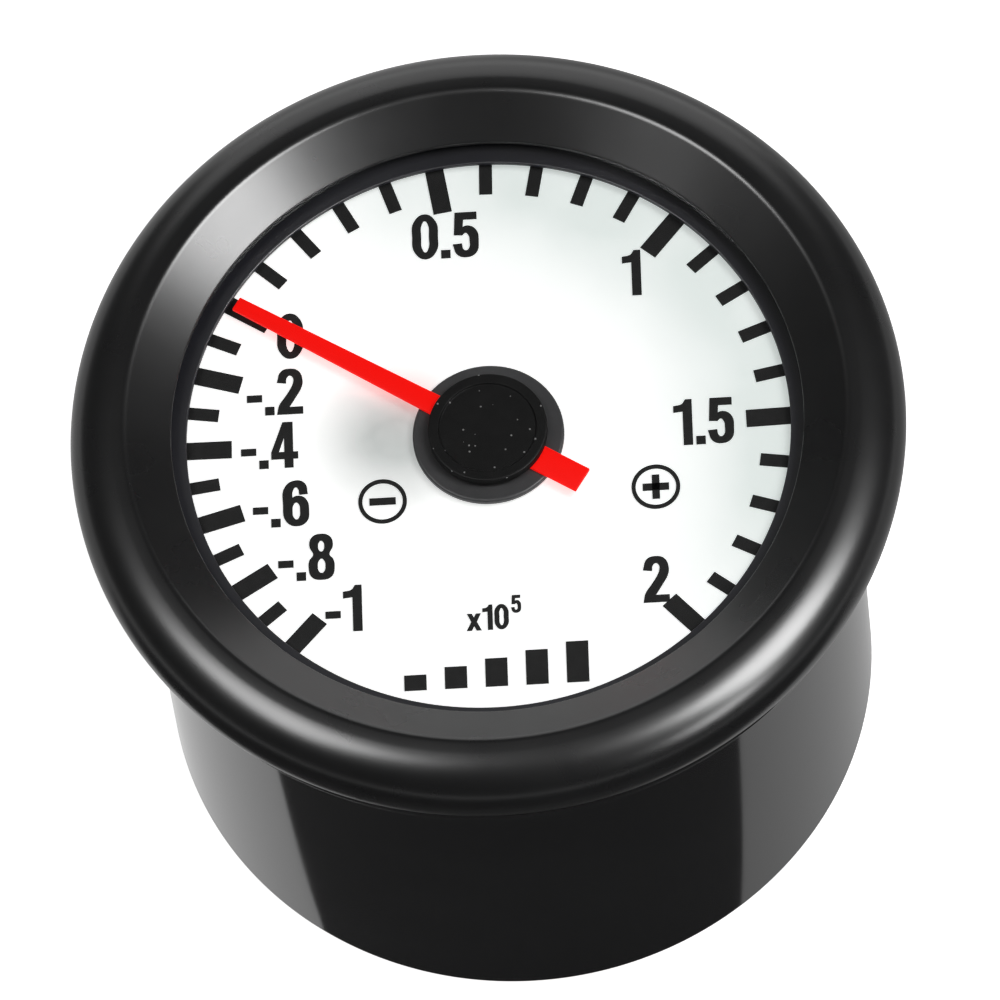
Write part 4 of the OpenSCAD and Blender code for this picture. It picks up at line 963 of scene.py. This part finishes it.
class GAUGE_OT_lens(bpy.types.Operator):
    """Turns the lens and the dark ring between the lens and the dial"""

    bl_idname = "gauge.lens"
    bl_label = "Lens and Trim Ring"

    def execute(self, context):
        s = context.scene.gauge_sizes
        low, high = box_of("lens")
        rim, rise = high.x, s.lens_rise / MM
        seat, bottom = high.z - rise, low.z
        dome = s.lip_radius / MM - 0.1
        ball = (dome * dome + rise * rise) / (2 * rise)

        def crown(radius):
            return math.sqrt(ball * ball - radius * radius) - (ball - rise)

        steps = 40
        above = [(dome * i / steps, seat + crown(dome * i / steps)) for i in range(steps + 1)]
        under = [(dome * i / steps, bottom + crown(dome * i / steps)) for i in range(steps, -1, -1)]
        points = above + [(rim, seat), (rim, bottom)] + under
        lens = turn("lens_dome", points, lens_clear(), sharp=20.0)
        ride_for(lens, "housing", "lens_clear", "lens")
        low, high = box_of("trim_ring")
        top, dial, outer = high.z, low.z, high.x
        wall = outer - 1.0
        ring = rounded([
            (TRIM_BORE, top, 0.1), (outer, top), (outer, top - 0.6), (wall, top - 0.6), (wall, dial),
            (TRIM_BORE + 1.2, dial), (TRIM_BORE, top - 0.3)])
        ride_for(turn("trim_band", ring, trim_black()), "housing", "trim_black", "trim_ring")
        return {"FINISHED"}


class GAUGE_OT_dial(bpy.types.Operator):
    """Gives the dial its white with painted glow and painted shade, and lays the scale marks on it"""

    bl_idname = "gauge.dial"
    bl_label = "Dial and Scale Marks"

    def execute(self, context):
        dress(["dial_plate"], dial_white())
        low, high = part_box("scale_marks")
        arcs = []
        for label, marks, turn_by, every, offset in (
                ("vacuum_arc", 11, VACUUM_STEP, 2, 0), ("pressure_arc", 20, PRESSURE_STEP, 5, 1)):
            arc = new_object(label, bpy.data.meshes.new(label))
            set_inputs(arc.modifiers.new("scale", "NODES"), scale_arc(), Marks=marks, First=math.radians(ZERO_TURN),
                       Turn=math.radians(turn_by), Long_Every=every, Offset=offset, Height=(low.z + high.z) / 2,
                       Thickness=high.z - low.z, Material=print_black())
            arcs.append(settle(arc))
        ride_for(joined("scale_print", arcs), "housing", "print_black", "scale_marks")
        return {"FINISHED"}


# Each figure: its width and its closed outlines, by the figure's height. A third value marks a corner.
FIGURES = {
    "0": (0.5, (((0.25, 1), (0.46, 0.84), (0.5, 0.5), (0.46, 0.16), (0.25, 0), (0.04, 0.16), (0, 0.5), (0.04, 0.84)),
                ((0.25, 0.885), (0.325, 0.8), (0.345, 0.5), (0.325, 0.2), (0.25, 0.115), (0.175, 0.2), (0.155, 0.5),
                 (0.175, 0.8)))),
    "1": (0.36, (((0.19, 0, 1), (0.35, 0, 1), (0.35, 1, 1), (0.24, 1, 1), (0.17, 0.9), (0, 0.86, 1), (0, 0.75, 1),
                  (0.19, 0.77, 1)),)),
    "2": (0.5, (((0, 0, 1), (0.5, 0, 1), (0.5, 0.125, 1), (0.2, 0.125, 1), (0.36, 0.38), (0.48, 0.6), (0.5, 0.76),
                 (0.42, 0.95), (0.26, 1), (0.09, 0.95), (0.01, 0.73, 1), (0.16, 0.71, 1), (0.18, 0.83), (0.26, 0.885),
                 (0.33, 0.83), (0.345, 0.74), (0.3, 0.59), (0.16, 0.36), (0.04, 0.18)),)),
    "4": (0.52, (((0.27, 0, 1), (0.42, 0, 1), (0.42, 0.2, 1), (0.52, 0.2, 1), (0.52, 0.32, 1), (0.42, 0.32, 1),
                  (0.42, 1, 1), (0.24, 1, 1), (0, 0.33, 1), (0, 0.2, 1), (0.27, 0.2, 1)),
                 ((0.27, 0.32, 1), (0.27, 0.78, 1), (0.115, 0.32, 1)))),
    "5": (0.5, (((0.05, 1, 1), (0.47, 1, 1), (0.47, 0.87, 1), (0.19, 0.87, 1), (0.175, 0.65, 1), (0.29, 0.69),
                 (0.45, 0.6), (0.5, 0.34), (0.44, 0.08), (0.25, 0), (0.08, 0.06), (0, 0.27, 1), (0.155, 0.28, 1),
                 (0.18, 0.16), (0.25, 0.115), (0.325, 0.17), (0.345, 0.34), (0.32, 0.5), (0.25, 0.565),
                 (0.17, 0.51, 1), (0.025, 0.52, 1)),)),
    "6": (0.5, (((0.48, 0.72, 1), (0.335, 0.71, 1), (0.31, 0.84), (0.25, 0.885), (0.185, 0.82), (0.16, 0.58, 1),
                 (0.2, 0.62), (0.29, 0.65), (0.44, 0.58), (0.5, 0.33), (0.45, 0.09), (0.26, 0), (0.06, 0.1),
                 (0, 0.48), (0.05, 0.88), (0.26, 1), (0.43, 0.93)),
                ((0.255, 0.54), (0.325, 0.48), (0.345, 0.33), (0.325, 0.17), (0.255, 0.11), (0.185, 0.17),
                 (0.16, 0.33), (0.185, 0.48)))),
    "8": (0.5, (((0.25, 1), (0.42, 0.94), (0.475, 0.76), (0.4, 0.54), (0.48, 0.42), (0.5, 0.27), (0.44, 0.06),
                 (0.25, 0), (0.06, 0.06), (0, 0.27), (0.02, 0.42), (0.1, 0.54), (0.025, 0.76), (0.08, 0.94)),
                ((0.25, 0.885), (0.31, 0.84), (0.33, 0.75), (0.31, 0.64), (0.25, 0.595), (0.19, 0.64), (0.17, 0.75),
                 (0.19, 0.84)),
                ((0.25, 0.48), (0.32, 0.42), (0.345, 0.29), (0.32, 0.16), (0.25, 0.11), (0.18, 0.16), (0.155, 0.29),
                 (0.18, 0.42)))),
    "x": (0.5, (((0, 0, 1), (0.15, 0, 1), (0.25, 0.21, 1), (0.35, 0, 1), (0.5, 0, 1), (0.335, 0.34, 1),
                 (0.48, 0.66, 1), (0.335, 0.66, 1), (0.25, 0.47, 1), (0.165, 0.66, 1), (0.02, 0.66, 1),
                 (0.165, 0.34, 1)),)),
    ".": (0.16, (((0, 0, 1), (0.16, 0, 1), (0.16, 0.15, 1), (0, 0.15, 1)),)),
    "-": (0.28, (((0, 0.31, 1), (0.28, 0.31, 1), (0.28, 0.43, 1), (0, 0.43, 1)),)),
}


def printed(work, text, height, at, z_low, z_high, widening, gap=0.09):
    """Adds a printed line of figures to a bmesh, its middle at a place of the dial in millimetres."""
    span = sum(FIGURES[letter][0] for letter in text) + gap * (len(text) - 1)
    drawing = bpy.data.curves.new("figures", "CURVE")
    drawing.dimensions, drawing.fill_mode, drawing.extrude, drawing.resolution_u = "2D", "BOTH", 0.5, 5
    drawing.offset = 0.018
    start = -span / 2
    for letter in text:
        width, outlines = FIGURES[letter]
        for outline in outlines:
            spline = drawing.splines.new("BEZIER")
            spline.bezier_points.add(len(outline) - 1)
            spline.use_cyclic_u = True
            for point, place in zip(spline.bezier_points, outline):
                point.co = (start + place[0], place[1] - 0.5, 0.0)
                kind = "VECTOR" if len(place) > 2 else "AUTO"
                point.handle_left_type = point.handle_right_type = kind
        start += width + gap
    drawer = new_object("figures", drawing)
    mesh = bpy.data.meshes.new_from_object(drawer.evaluated_get(bpy.context.evaluated_depsgraph_get()))
    bpy.data.objects.remove(drawer)
    bpy.data.curves.remove(drawing)
    for v in mesh.vertices:
        v.co = (at[0] * MM + v.co.x * height * widening * MM, at[1] * MM + v.co.y * height * MM,
                z_low + (z_high - z_low) * (v.co.z + 0.5))
    work.from_mesh(mesh)
    bpy.data.meshes.remove(mesh)
    bmesh.ops.remove_doubles(work, verts=work.verts, dist=0.0000002)


class GAUGE_OT_numbers(bpy.types.Operator):
    """Prints the plain numbers of both scales on the dial"""

    bl_idname = "gauge.numbers"
    bl_label = "Numbers"

    places = (
        ("0", -14.10, 9.00), ("0.5", -2.68, 16.42), ("1", 10.70, 12.60), ("1.5", 15.45, 0.38), ("2", 11.60, -11.95),
        ("-.2", -15.31, 4.56), ("-.4", -15.79, 0.30), ("-.6", -15.07, -4.40), ("-.8", -13.35, -8.75),
        ("-1", -10.75, -12.95),
    )

    def execute(self, context):
        s = context.scene.gauge_sizes
        low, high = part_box("scale_numbers")
        work = bmesh.new()
        for text, x, y in self.places:
            printed(work, text, s.number_height / MM, (x, y), low.z, high.z, s.number_widening)
        piece = from_work("scale_figures", work, print_black())
        ride_for(piece, "housing", "print_black", "scale_numbers")
        return {"FINISHED"}


class GAUGE_OT_signs(bpy.types.Operator):
    """Prints the plain signs of the two sides, the power of ten and the rising bars"""

    bl_idname = "gauge.signs"
    bl_label = "Signs"

    def execute(self, context):
        low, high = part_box("dial_signs")
        z_low, z_high = low.z / MM, high.z / MM
        minus, plus = (-7.77, PLUS_MINUS_Y), (11.84, PLUS_MINUS_Y)
        bore, outer = 1.45, 1.75
        sign_rings = turn("sign_rings", [(bore, z_high), (outer, z_high), (outer, z_low), (bore, z_low)],
                          print_black(), segments=64, centre=minus, step=(plus[0] - minus[0], 0.0), copies=2)
        work = bmesh.new()
        for centre, wide, tall in ((minus, 1.9, 0.55), (plus, 1.9, 0.55), (plus, 0.55, 1.9)):
            prism(work, block(centre, wide, tall), z_low, z_high)
        for i in range(5):
            tall = 1.2 + 0.5 * i
            prism(work, block(((i - 2) * 2.9, tall / 2 - 19.7), 1.6, tall), z_low, z_high)
        printed(work, "x10", 1.9, (-0.5, -14.25), low.z, high.z, 1.0)
        printed(work, "5", 1.33, (1.55, -13.3), low.z, high.z, 1.0)
        bars = from_work("sign_bars", work, print_black())
        ride_for(joined("sign_print", [sign_rings, bars]), "housing", "print_black", "dial_signs")
        return {"FINISHED"}


class GAUGE_OT_needle(bpy.types.Operator):
    """Makes the red needle with its grey skirt and black dished cap"""

    bl_idname = "gauge.needle"
    bl_label = "Needle and Hub"

    def execute(self, context):
        low, high = box_of("needle")
        reach, tail, waist = 21.2, -7.9, -4.3
        outline = [(reach, -0.55), (reach, 0.55), (0.0, 0.85), (waist, 1.0), (tail, 1.0), (tail, -1.0),
                   (waist, -1.0), (0.0, -0.85)]
        work = bmesh.new()
        prism(work, swung(outline, ZERO_TURN), low.z, high.z)
        bmesh.ops.recalc_face_normals(work, faces=work.faces)
        blade = new_object("needle_blade", mesh_from("needle_blade", work, needle_red()))
        edge = blade.modifiers.new("edge", "BEVEL")
        edge.width, edge.segments, edge.limit_method, edge.angle_limit = 0.07 * MM, 3, "ANGLE", math.radians(50)
        settle(blade)
        ride_for(blade, "pointer", "needle_red", "needle")
        low, high = box_of("hub_skirt")
        skirt = rounded([(HUB_BORE, high.z), (high.x, high.z, 0.18), (high.x, low.z, 0.08), (HUB_BORE, low.z)])
        ride_for(turn("hub_disc", skirt, hub_grey(), segments=160), "pointer", "hub_grey", "hub_skirt")
        low, high = box_of("hub_cap")
        r, top, bottom = high.x, high.z, low.z
        dish, socket = top - 0.15, bottom + 0.25
        cap = rounded([
            (0.0, dish), (r - 0.85, dish, 0.05), (r - 0.75, top, 0.05), (r, top, 0.16),
            (r, bottom, 0.05), (HUB_BORE, bottom), (HUB_BORE, socket), (0.0, socket)])
        ride_for(turn("hub_button", cap, hub_black(), segments=160), "pointer", "hub_black", "hub_cap")
        return {"FINISHED"}


def dress(nodes, material):
    """Gives every slot of the named CAD nodes a material."""
    for name in nodes:
        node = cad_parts[name]
        if not node.material_slots:
            raise RuntimeError(f"{name} has no material slot")
        for slot in node.material_slots:
            slot.material = material


class GAUGE_OT_works(bpy.types.Operator):
    """Gives the pieces inside the barrel their metals and plastics"""

    bl_idname = "gauge.works"
    bl_label = "Inside Works"

    def execute(self, context):
        for material, nodes in (
                (black_rubber, "lens_gasket"),
                (clear_plastic, "light_guide"),
                (board_green, "lamp_board"),
                (lamp_yellow, "lamps"),
                (parts_black, "lamp_resistors"),
                (tray_white, "lamp_tray"),
                (brass, "pinion hairspring_collet hairspring_stud sector_gear tube_tip socket_block "
                        "front_plate back_plate plate_pillars arbor_bushes"),
                (steel, "pointer_arbor sector_arbor tail_pin link tip_pin plate_screws movement_screws"),
                (bronze, "hairspring")):
            dress(nodes.split(), material())
        return {"FINISHED"}


class GAUGE_OT_tube(bpy.types.Operator):
    """Makes the flattened pressure tube between the block and its moving tip"""

    bl_idname = "gauge.tube"
    bl_label = "Pressure Tube"

    def execute(self, context):
        s = context.scene.gauge_sizes
        low, high = box_of("pressure_tube")
        thick, wall = s.tube_thickness / MM, s.tube_wall / MM
        radius, middle = high.y - thick / 2, (low.z + high.z) / 2
        reach = (high.z - low.z - thick) / 2
        # the tube's two ends, as turns in degrees; none of the tube lies in the gap between them
        gap = -65.0
        turns = [(math.degrees(math.atan2(v.co.y, v.co.x)) - gap) % 360.0 + gap
                 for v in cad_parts["pressure_tube"].data.vertices]
        first, last, steps = min(turns), max(turns), 120

        def section(shrink):
            """The flattened outline: an arc over the sides, and one under them whose first point is doubled."""
            half = thick / 2 - shrink
            places = [(i, reach) for i in range(12)] + [(i, -reach) for i in (12, *range(12, 25))]
            return [(radius + half * math.cos(math.pi * i / 12), middle + side + half * math.sin(math.pi * i / 12))
                    for i, side in places]

        work = bmesh.new()
        loops = []
        for outline in (section(0.0), section(wall)):
            loops.append([])
            for i in range(steps + 1):
                angle = math.radians(first + (last - first) * i / steps)
                loops[-1].append([work.verts.new((r * MM * math.cos(angle), r * MM * math.sin(angle), z * MM))
                                  for r, z in outline])
        for rings in loops:
            for one, two in zip(rings, rings[1:]):
                band(work, one, two)
        for end in (0, -1):
            band(work, loops[0][end], loops[1][end])
        tube = from_work("bent_tube", work, bronze())
        # a line that leans a little up, and where the tube's two ends fall along it; nothing uses them
        lean = Vector((math.cos(math.radians(5.0)), math.sin(math.radians(5.0)), 0.0))
        ends = [Vector((math.cos(math.radians(a)), math.sin(math.radians(a)), 0.0)) * radius * MM
                for a in (last, first)]
        start, end = [lean * point.dot(lean) for point in ends]
        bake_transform(tube)
        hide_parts("pressure_tube")
        return {"FINISHED"}


class GAUGE_OT_studs(bpy.types.Operator):
    """Makes the two threaded mounting studs with their washers and nuts"""

    bl_idname = "gauge.studs"
    bl_label = "Mounting Studs"

    def execute(self, context):
        s = context.scene.gauge_sizes
        low, high = box_of("mounting_studs")
        end, head_top = low.z, high.z
        start, step = (-STUD_X, STUD_Y), (2 * STUD_X, 0.0)
        depth, pitch = s.thread_depth / MM, s.thread_pitch / MM
        core = STUD_RADIUS - depth
        head_low = head_top - 1.5
        root_low = BARREL_BACK - WASHER - NUT - NECK_PAST_NUT
        points = rounded([
            (0.0, head_top), (STUD_HEAD, head_top, 0.3), (STUD_HEAD, head_low), (STUD_NECK, head_low),
            (STUD_NECK, root_low, 0.15),
            (core, root_low), (core, end + 0.35), (core - 0.35, end), (0.0, end)])
        rods = turn("stud_rods", points, zinc(), segments=48, centre=start, step=step, copies=2)
        thread = new_object("stud_threads", bpy.data.meshes.new("stud_threads"))
        set_inputs(thread.modifiers.new("thread", "NODES"), screw_thread(), Radius=(core + 0.02) * MM,
                   Length=(root_low - end - 1.0) * MM, Pitch=pitch * MM, Ridge=(depth - 0.02) * MM, Copies=2,
                   Start=(start[0] * MM, start[1] * MM, (end + 0.6) * MM), Step=(step[0] * MM, 0.0, 0.0),
                   Material=zinc())
        settle(thread)
        ride_for(joined("studs", [rods, thread]), "housing", "zinc", "mounting_studs")
        washers = flat_ring("washers", "stud_washers", 2.6, zinc(), 0.12, segments=96, centre=start, step=step,
                            copies=2)
        ride_for(washers, "housing", "zinc", "stud_washers")
        low, high = box_of("stud_nuts")
        work = bmesh.new()
        for x in (-STUD_X, STUD_X):
            chamfered_nut(work, 8.0, STUD_HOLE, low.z, high.z, (x, STUD_Y))
        ride_for(from_work("hex_nuts", work, zinc()), "housing", "zinc", "stud_nuts")
        return {"FINISHED"}


class GAUGE_OT_port(bpy.types.Operator):
    """Makes the port's copper washer, its brass nut and the barbed brass hose tail"""

    bl_idname = "gauge.port"
    bl_label = "Port and Hose Tail"

    def execute(self, context):
        metal = brass((PORT_AT[0] * MM, PORT_AT[1] * MM, 0.0))
        ring = flat_ring("port_ring", "port_washer", PORT_HOLE, copper(), 0.12, segments=128, centre=PORT_AT)
        ride_for(ring, "housing", "copper_washer", "port_washer")
        low, high = box_of("port_nut")
        work = bmesh.new()
        chamfered_nut(work, 12.0, 4.02, low.z, high.z, PORT_AT)
        ride_for(from_work("port_hex", work, metal), "housing", "brass", "port_nut")
        low, high = box_of("hose_tail")
        end, top, hex_low, hex_high = low.z, high.z, -43.0, -41.0
        work = bmesh.new()
        chamfered_nut(work, 9.0, 1.2, hex_low, hex_high, PORT_AT)
        hexagon = from_work("tail_hex", work, metal)
        bore, neck, barb, pipe = 1.0, 2.48, 2.4, 2.0
        points = rounded([
            (bore, top), (neck, top), (neck, hex_high - 0.2), (neck, hex_low + 0.2), (pipe, hex_low + 0.2),
            (pipe, end + 4.4), (barb, end + 4.4, 0.06), (barb, end + 3.6, 0.06), (pipe, end + 2.2),
            (barb, end + 2.2, 0.06), (barb, end + 1.4, 0.06), (pipe, end, 0.1), (bore, end)])
        spout = turn("tail_spout", points, metal, segments=96, centre=PORT_AT)
        ride_for(joined("hose_spout", [hexagon, spout]), "housing", "brass", "hose_tail")
        return {"FINISHED"}


class GAUGE_OT_back(bpy.types.Operator):
    """Makes the slotted screws in the back and the rubber grommet of the lead inlet"""

    bl_idname = "gauge.back"
    bl_label = "Back Screws and Grommet"

    def execute(self, context):
        low, high = box_of("block_screws")
        x, y = screw_places()
        head, end, top = SCREW_HEAD, low.z, high.z
        points = rounded([
            (0.0, top), (1.0, top), (1.0, end + 1.4), (head, end + 1.4, 0.1), (head, end + 0.35, 0.2),
            (head - 0.7, end + 0.05), (0.0, end)])
        screws = turn("back_screws", points, zinc(), segments=64, centre=(-x, y), step=(2 * x, 0.0), copies=2)
        cut_away(screws, [(swung(block((0.0, 0.0), 4.8, 0.5), lean, (at, y)), end - 1.0, end + 0.6)
                          for at, lean in ((-x, 24.0), (x, -38.0))])
        ride_for(screws, "housing", "zinc", "block_screws")
        low, high = box_of("lead_grommet")
        r, top, bottom = high.x, high.z, low.z
        neck, bore = r - 1.6, 2.2
        points = rounded([
            (bore, top, 0.3), (r, top, 0.45), (r, top - 1.2, 0.1),
            (neck - 0.02, top - 1.2), (neck - 0.02, bottom + 1.2),
            (r, bottom + 1.2, 0.1), (r, bottom, 0.5), (bore, bottom, 0.4)])
        grommet = turn("lead_bush", points, black_rubber(), segments=128, centre=INLET_AT)
        ride_for(grommet, "housing", "seal_rubber", "lead_grommet")
        return {"FINISHED"}


def glowing(name, base, glow, **inputs):
    """A plain material that glows white."""
    material = bpy.data.materials.new(name)
    material.use_nodes = True
    shader = material.node_tree.nodes["Principled BSDF"]
    shader.inputs["Base Color"].default_value = (base, base, base, 1.0)
    shader.inputs["Emission Color"].default_value = (1.0, 1.0, 1.0, 1.0)
    shader.inputs["Emission Strength"].default_value = glow
    for key, value in inputs.items():
        shader.inputs[key.replace("_", " ")].default_value = value
    return material


def flat_sheet(name, corners, height, material):
    """A flat sheet of the stage at a height, in metres, that faces up."""
    work = bmesh.new()
    work.faces.new([work.verts.new((x, y, height)) for x, y in corners])
    return new_object(name, mesh_from(name, work, material))


class GAUGE_OT_stage(bpy.types.Operator):
    """Sets the camera, the soft lights and the pale floor"""

    bl_idname = "gauge.stage"
    bl_label = "Stage"

    def execute(self, context):
        scene = context.scene
        st = scene.gauge_stage
        # camera: its frame towards the lens's middle, then rolled, then turned to what it aims at
        height, side, roll = st.elevation, st.azimuth, st.roll
        middle = Vector((0.0, 0.0, st.aim_height))
        away = Vector((math.sin(side) * math.cos(height), -math.cos(side) * math.cos(height), math.sin(height)))
        level = Vector((math.cos(side), math.sin(side), 0.0))
        upright = away.cross(level)
        rolled_right = level * math.cos(roll) + upright * math.sin(roll)
        rolled_up = upright * math.cos(roll) - level * math.sin(roll)
        place = middle + away * st.distance
        back = (place - (middle + rolled_right * st.aim_right - rolled_up * st.aim_down)).normalized()
        right = rolled_up.cross(back).normalized()
        up = back.cross(right)
        data = bpy.data.cameras.new("camera")
        data.lens, data.sensor_width = st.focal_length, 36.0
        data.clip_start, data.clip_end = 0.01, 50.0
        camera = bpy.data.objects.new("camera", data)
        scene.collection.objects.link(camera)
        camera.matrix_world = Matrix.Translation(place) @ Matrix((right, up, back)).transposed().to_4x4()
        scene.camera = camera
        # floor
        floor_z = CAD_BOX[0].z
        paper = glowing("pale_paper", 0.92, 0.97, Roughness=0.9)
        # seen from below the floor is clear, so that the gauge's back shows
        tree = paper.node_tree
        under = tree.nodes.new("ShaderNodeNewGeometry").outputs["Backfacing"]
        feed(tree, sum_of(tree, "SUBTRACT", 1.0, under), tree.nodes["Principled BSDF"].inputs["Alpha"])
        floor = flat_sheet("floor", block((0.0, 0.0), 12.0, 12.0), floor_z, paper)
        # lights: name, azimuth and height angle of its place, width, height, radiance, kind of light
        for name, turned, raised, wide, tall, radiance, glossy in (
                ("key", -17, 52, 0.26, 0.30, st.key_light, True),
                ("low key", -42, 28, 0.18, 0.14, st.key_light * 0.55, True),
                ("fill", -162, 62, 0.26, 0.24, st.fill_light, True),
                ("back", 92, 27, 0.60, 0.24, st.back_light, True),
                ("horizon", 90, 7, 0.60, 0.14, st.back_light * 1.1, True),
                ("soft", -5, 62, 0.30, 0.30, st.soft_light, False)):
            light = bpy.data.lights.new(name, "AREA")
            light.shape, light.size, light.size_y = "RECTANGLE", wide, tall
            light.energy = radiance * math.pi * wide * tall
            lamp = bpy.data.objects.new(name, light)
            scene.collection.objects.link(lamp)
            lamp.visible_diffuse, lamp.visible_glossy = not glossy, glossy
            turned, raised = math.radians(turned), math.radians(raised)
            direction = Vector((math.cos(turned) * math.cos(raised), math.sin(turned) * math.cos(raised),
                                math.sin(raised)))
            lamp.location = direction * LIGHTS_AWAY
            lamp.rotation_mode = "QUATERNION"
            lamp.rotation_quaternion = direction.to_track_quat("Z", "Y")
        # cards that show only in the gloss: dark in front of the barrel, grey at its sides
        for name, height, tone, corners in (
                ("card_left", 0.0001, st.card_left, [(-0.6, -0.6), (0.0, -0.6), (0.0, 0.6), (-0.6, 0.6)]),
                ("card_right", 0.0001, st.card_right, [(0.0, -0.6), (0.6, -0.6), (0.6, 0.6), (0.0, 0.6)]),
                ("card_front", 0.0002, 0.06, [(-0.30, 0.0086), (-0.30, -0.5), (0.30, -0.5), (0.30, -0.0453),
                                               (0.0239, -0.0238), (-0.0247, -0.0226)])):
            cloth = glowing(name, 0.0, tone, Specular_IOR_Level=0.0)
            card = flat_sheet(name, corners, floor_z + height, cloth)
            card.visible_camera = card.visible_diffuse = card.visible_shadow = card.visible_transmission = False
        # room
        world = bpy.data.worlds.new("room")
        world.use_nodes = True
        sky = world.node_tree.nodes["Background"]
        sky.inputs["Color"].default_value = (1.0, 1.0, 1.0, 1.0)
        sky.inputs["Strength"].default_value = st.sky
        scene.world = world
        scene.view_settings.view_transform = "Standard"
        return {"FINISHED"}


class GAUGE_PT_panel(bpy.types.Panel):
    """The gauge's pieces, sizes, finishes and stage"""

    bl_label = "Vacuum Gauge"
    bl_idname = "GAUGE_PT_panel"
    bl_space_type = "VIEW_3D"
    bl_region_type = "UI"
    bl_category = "Gauge"

    def draw(self, context):
        column = self.layout.column(align=True)
        for step in STEPS:
            column.operator(step.bl_idname)
        for group in (context.scene.gauge_sizes, context.scene.gauge_finish, context.scene.gauge_stage):
            box = self.layout.box()
            for name in group.__annotations__:
                box.prop(group, name)


STEPS = (GAUGE_OT_bezel, GAUGE_OT_barrel, GAUGE_OT_lens, GAUGE_OT_dial, GAUGE_OT_numbers, GAUGE_OT_signs,
         GAUGE_OT_needle, GAUGE_OT_works, GAUGE_OT_tube, GAUGE_OT_studs, GAUGE_OT_port, GAUGE_OT_back, GAUGE_OT_stage)
GROUPS = (("gauge_sizes", GaugeSizes), ("gauge_finish", GaugeFinish), ("gauge_stage", GaugeStage))


def register():
    for name, group in GROUPS:
        bpy.utils.register_class(group)
        setattr(bpy.types.Scene, name, PointerProperty(type=group))
    for step in STEPS:
        bpy.utils.register_class(step)
    bpy.utils.register_class(GAUGE_PT_panel)


def unregister():
    bpy.utils.unregister_class(GAUGE_PT_panel)
    for step in reversed(STEPS):
        bpy.utils.unregister_class(step)
    for name, group in reversed(GROUPS):
        delattr(bpy.types.Scene, name)
        bpy.utils.unregister_class(group)


def main():
    """Makes every piece and the stage in order."""
    register()
    for step in STEPS:
        operator = getattr(bpy.ops.gauge, step.bl_idname.split(".")[1])
        if operator() != {"FINISHED"}:
            raise RuntimeError(f"{step.bl_label} wasn't finished")


if __name__ == "__main__":
    main()
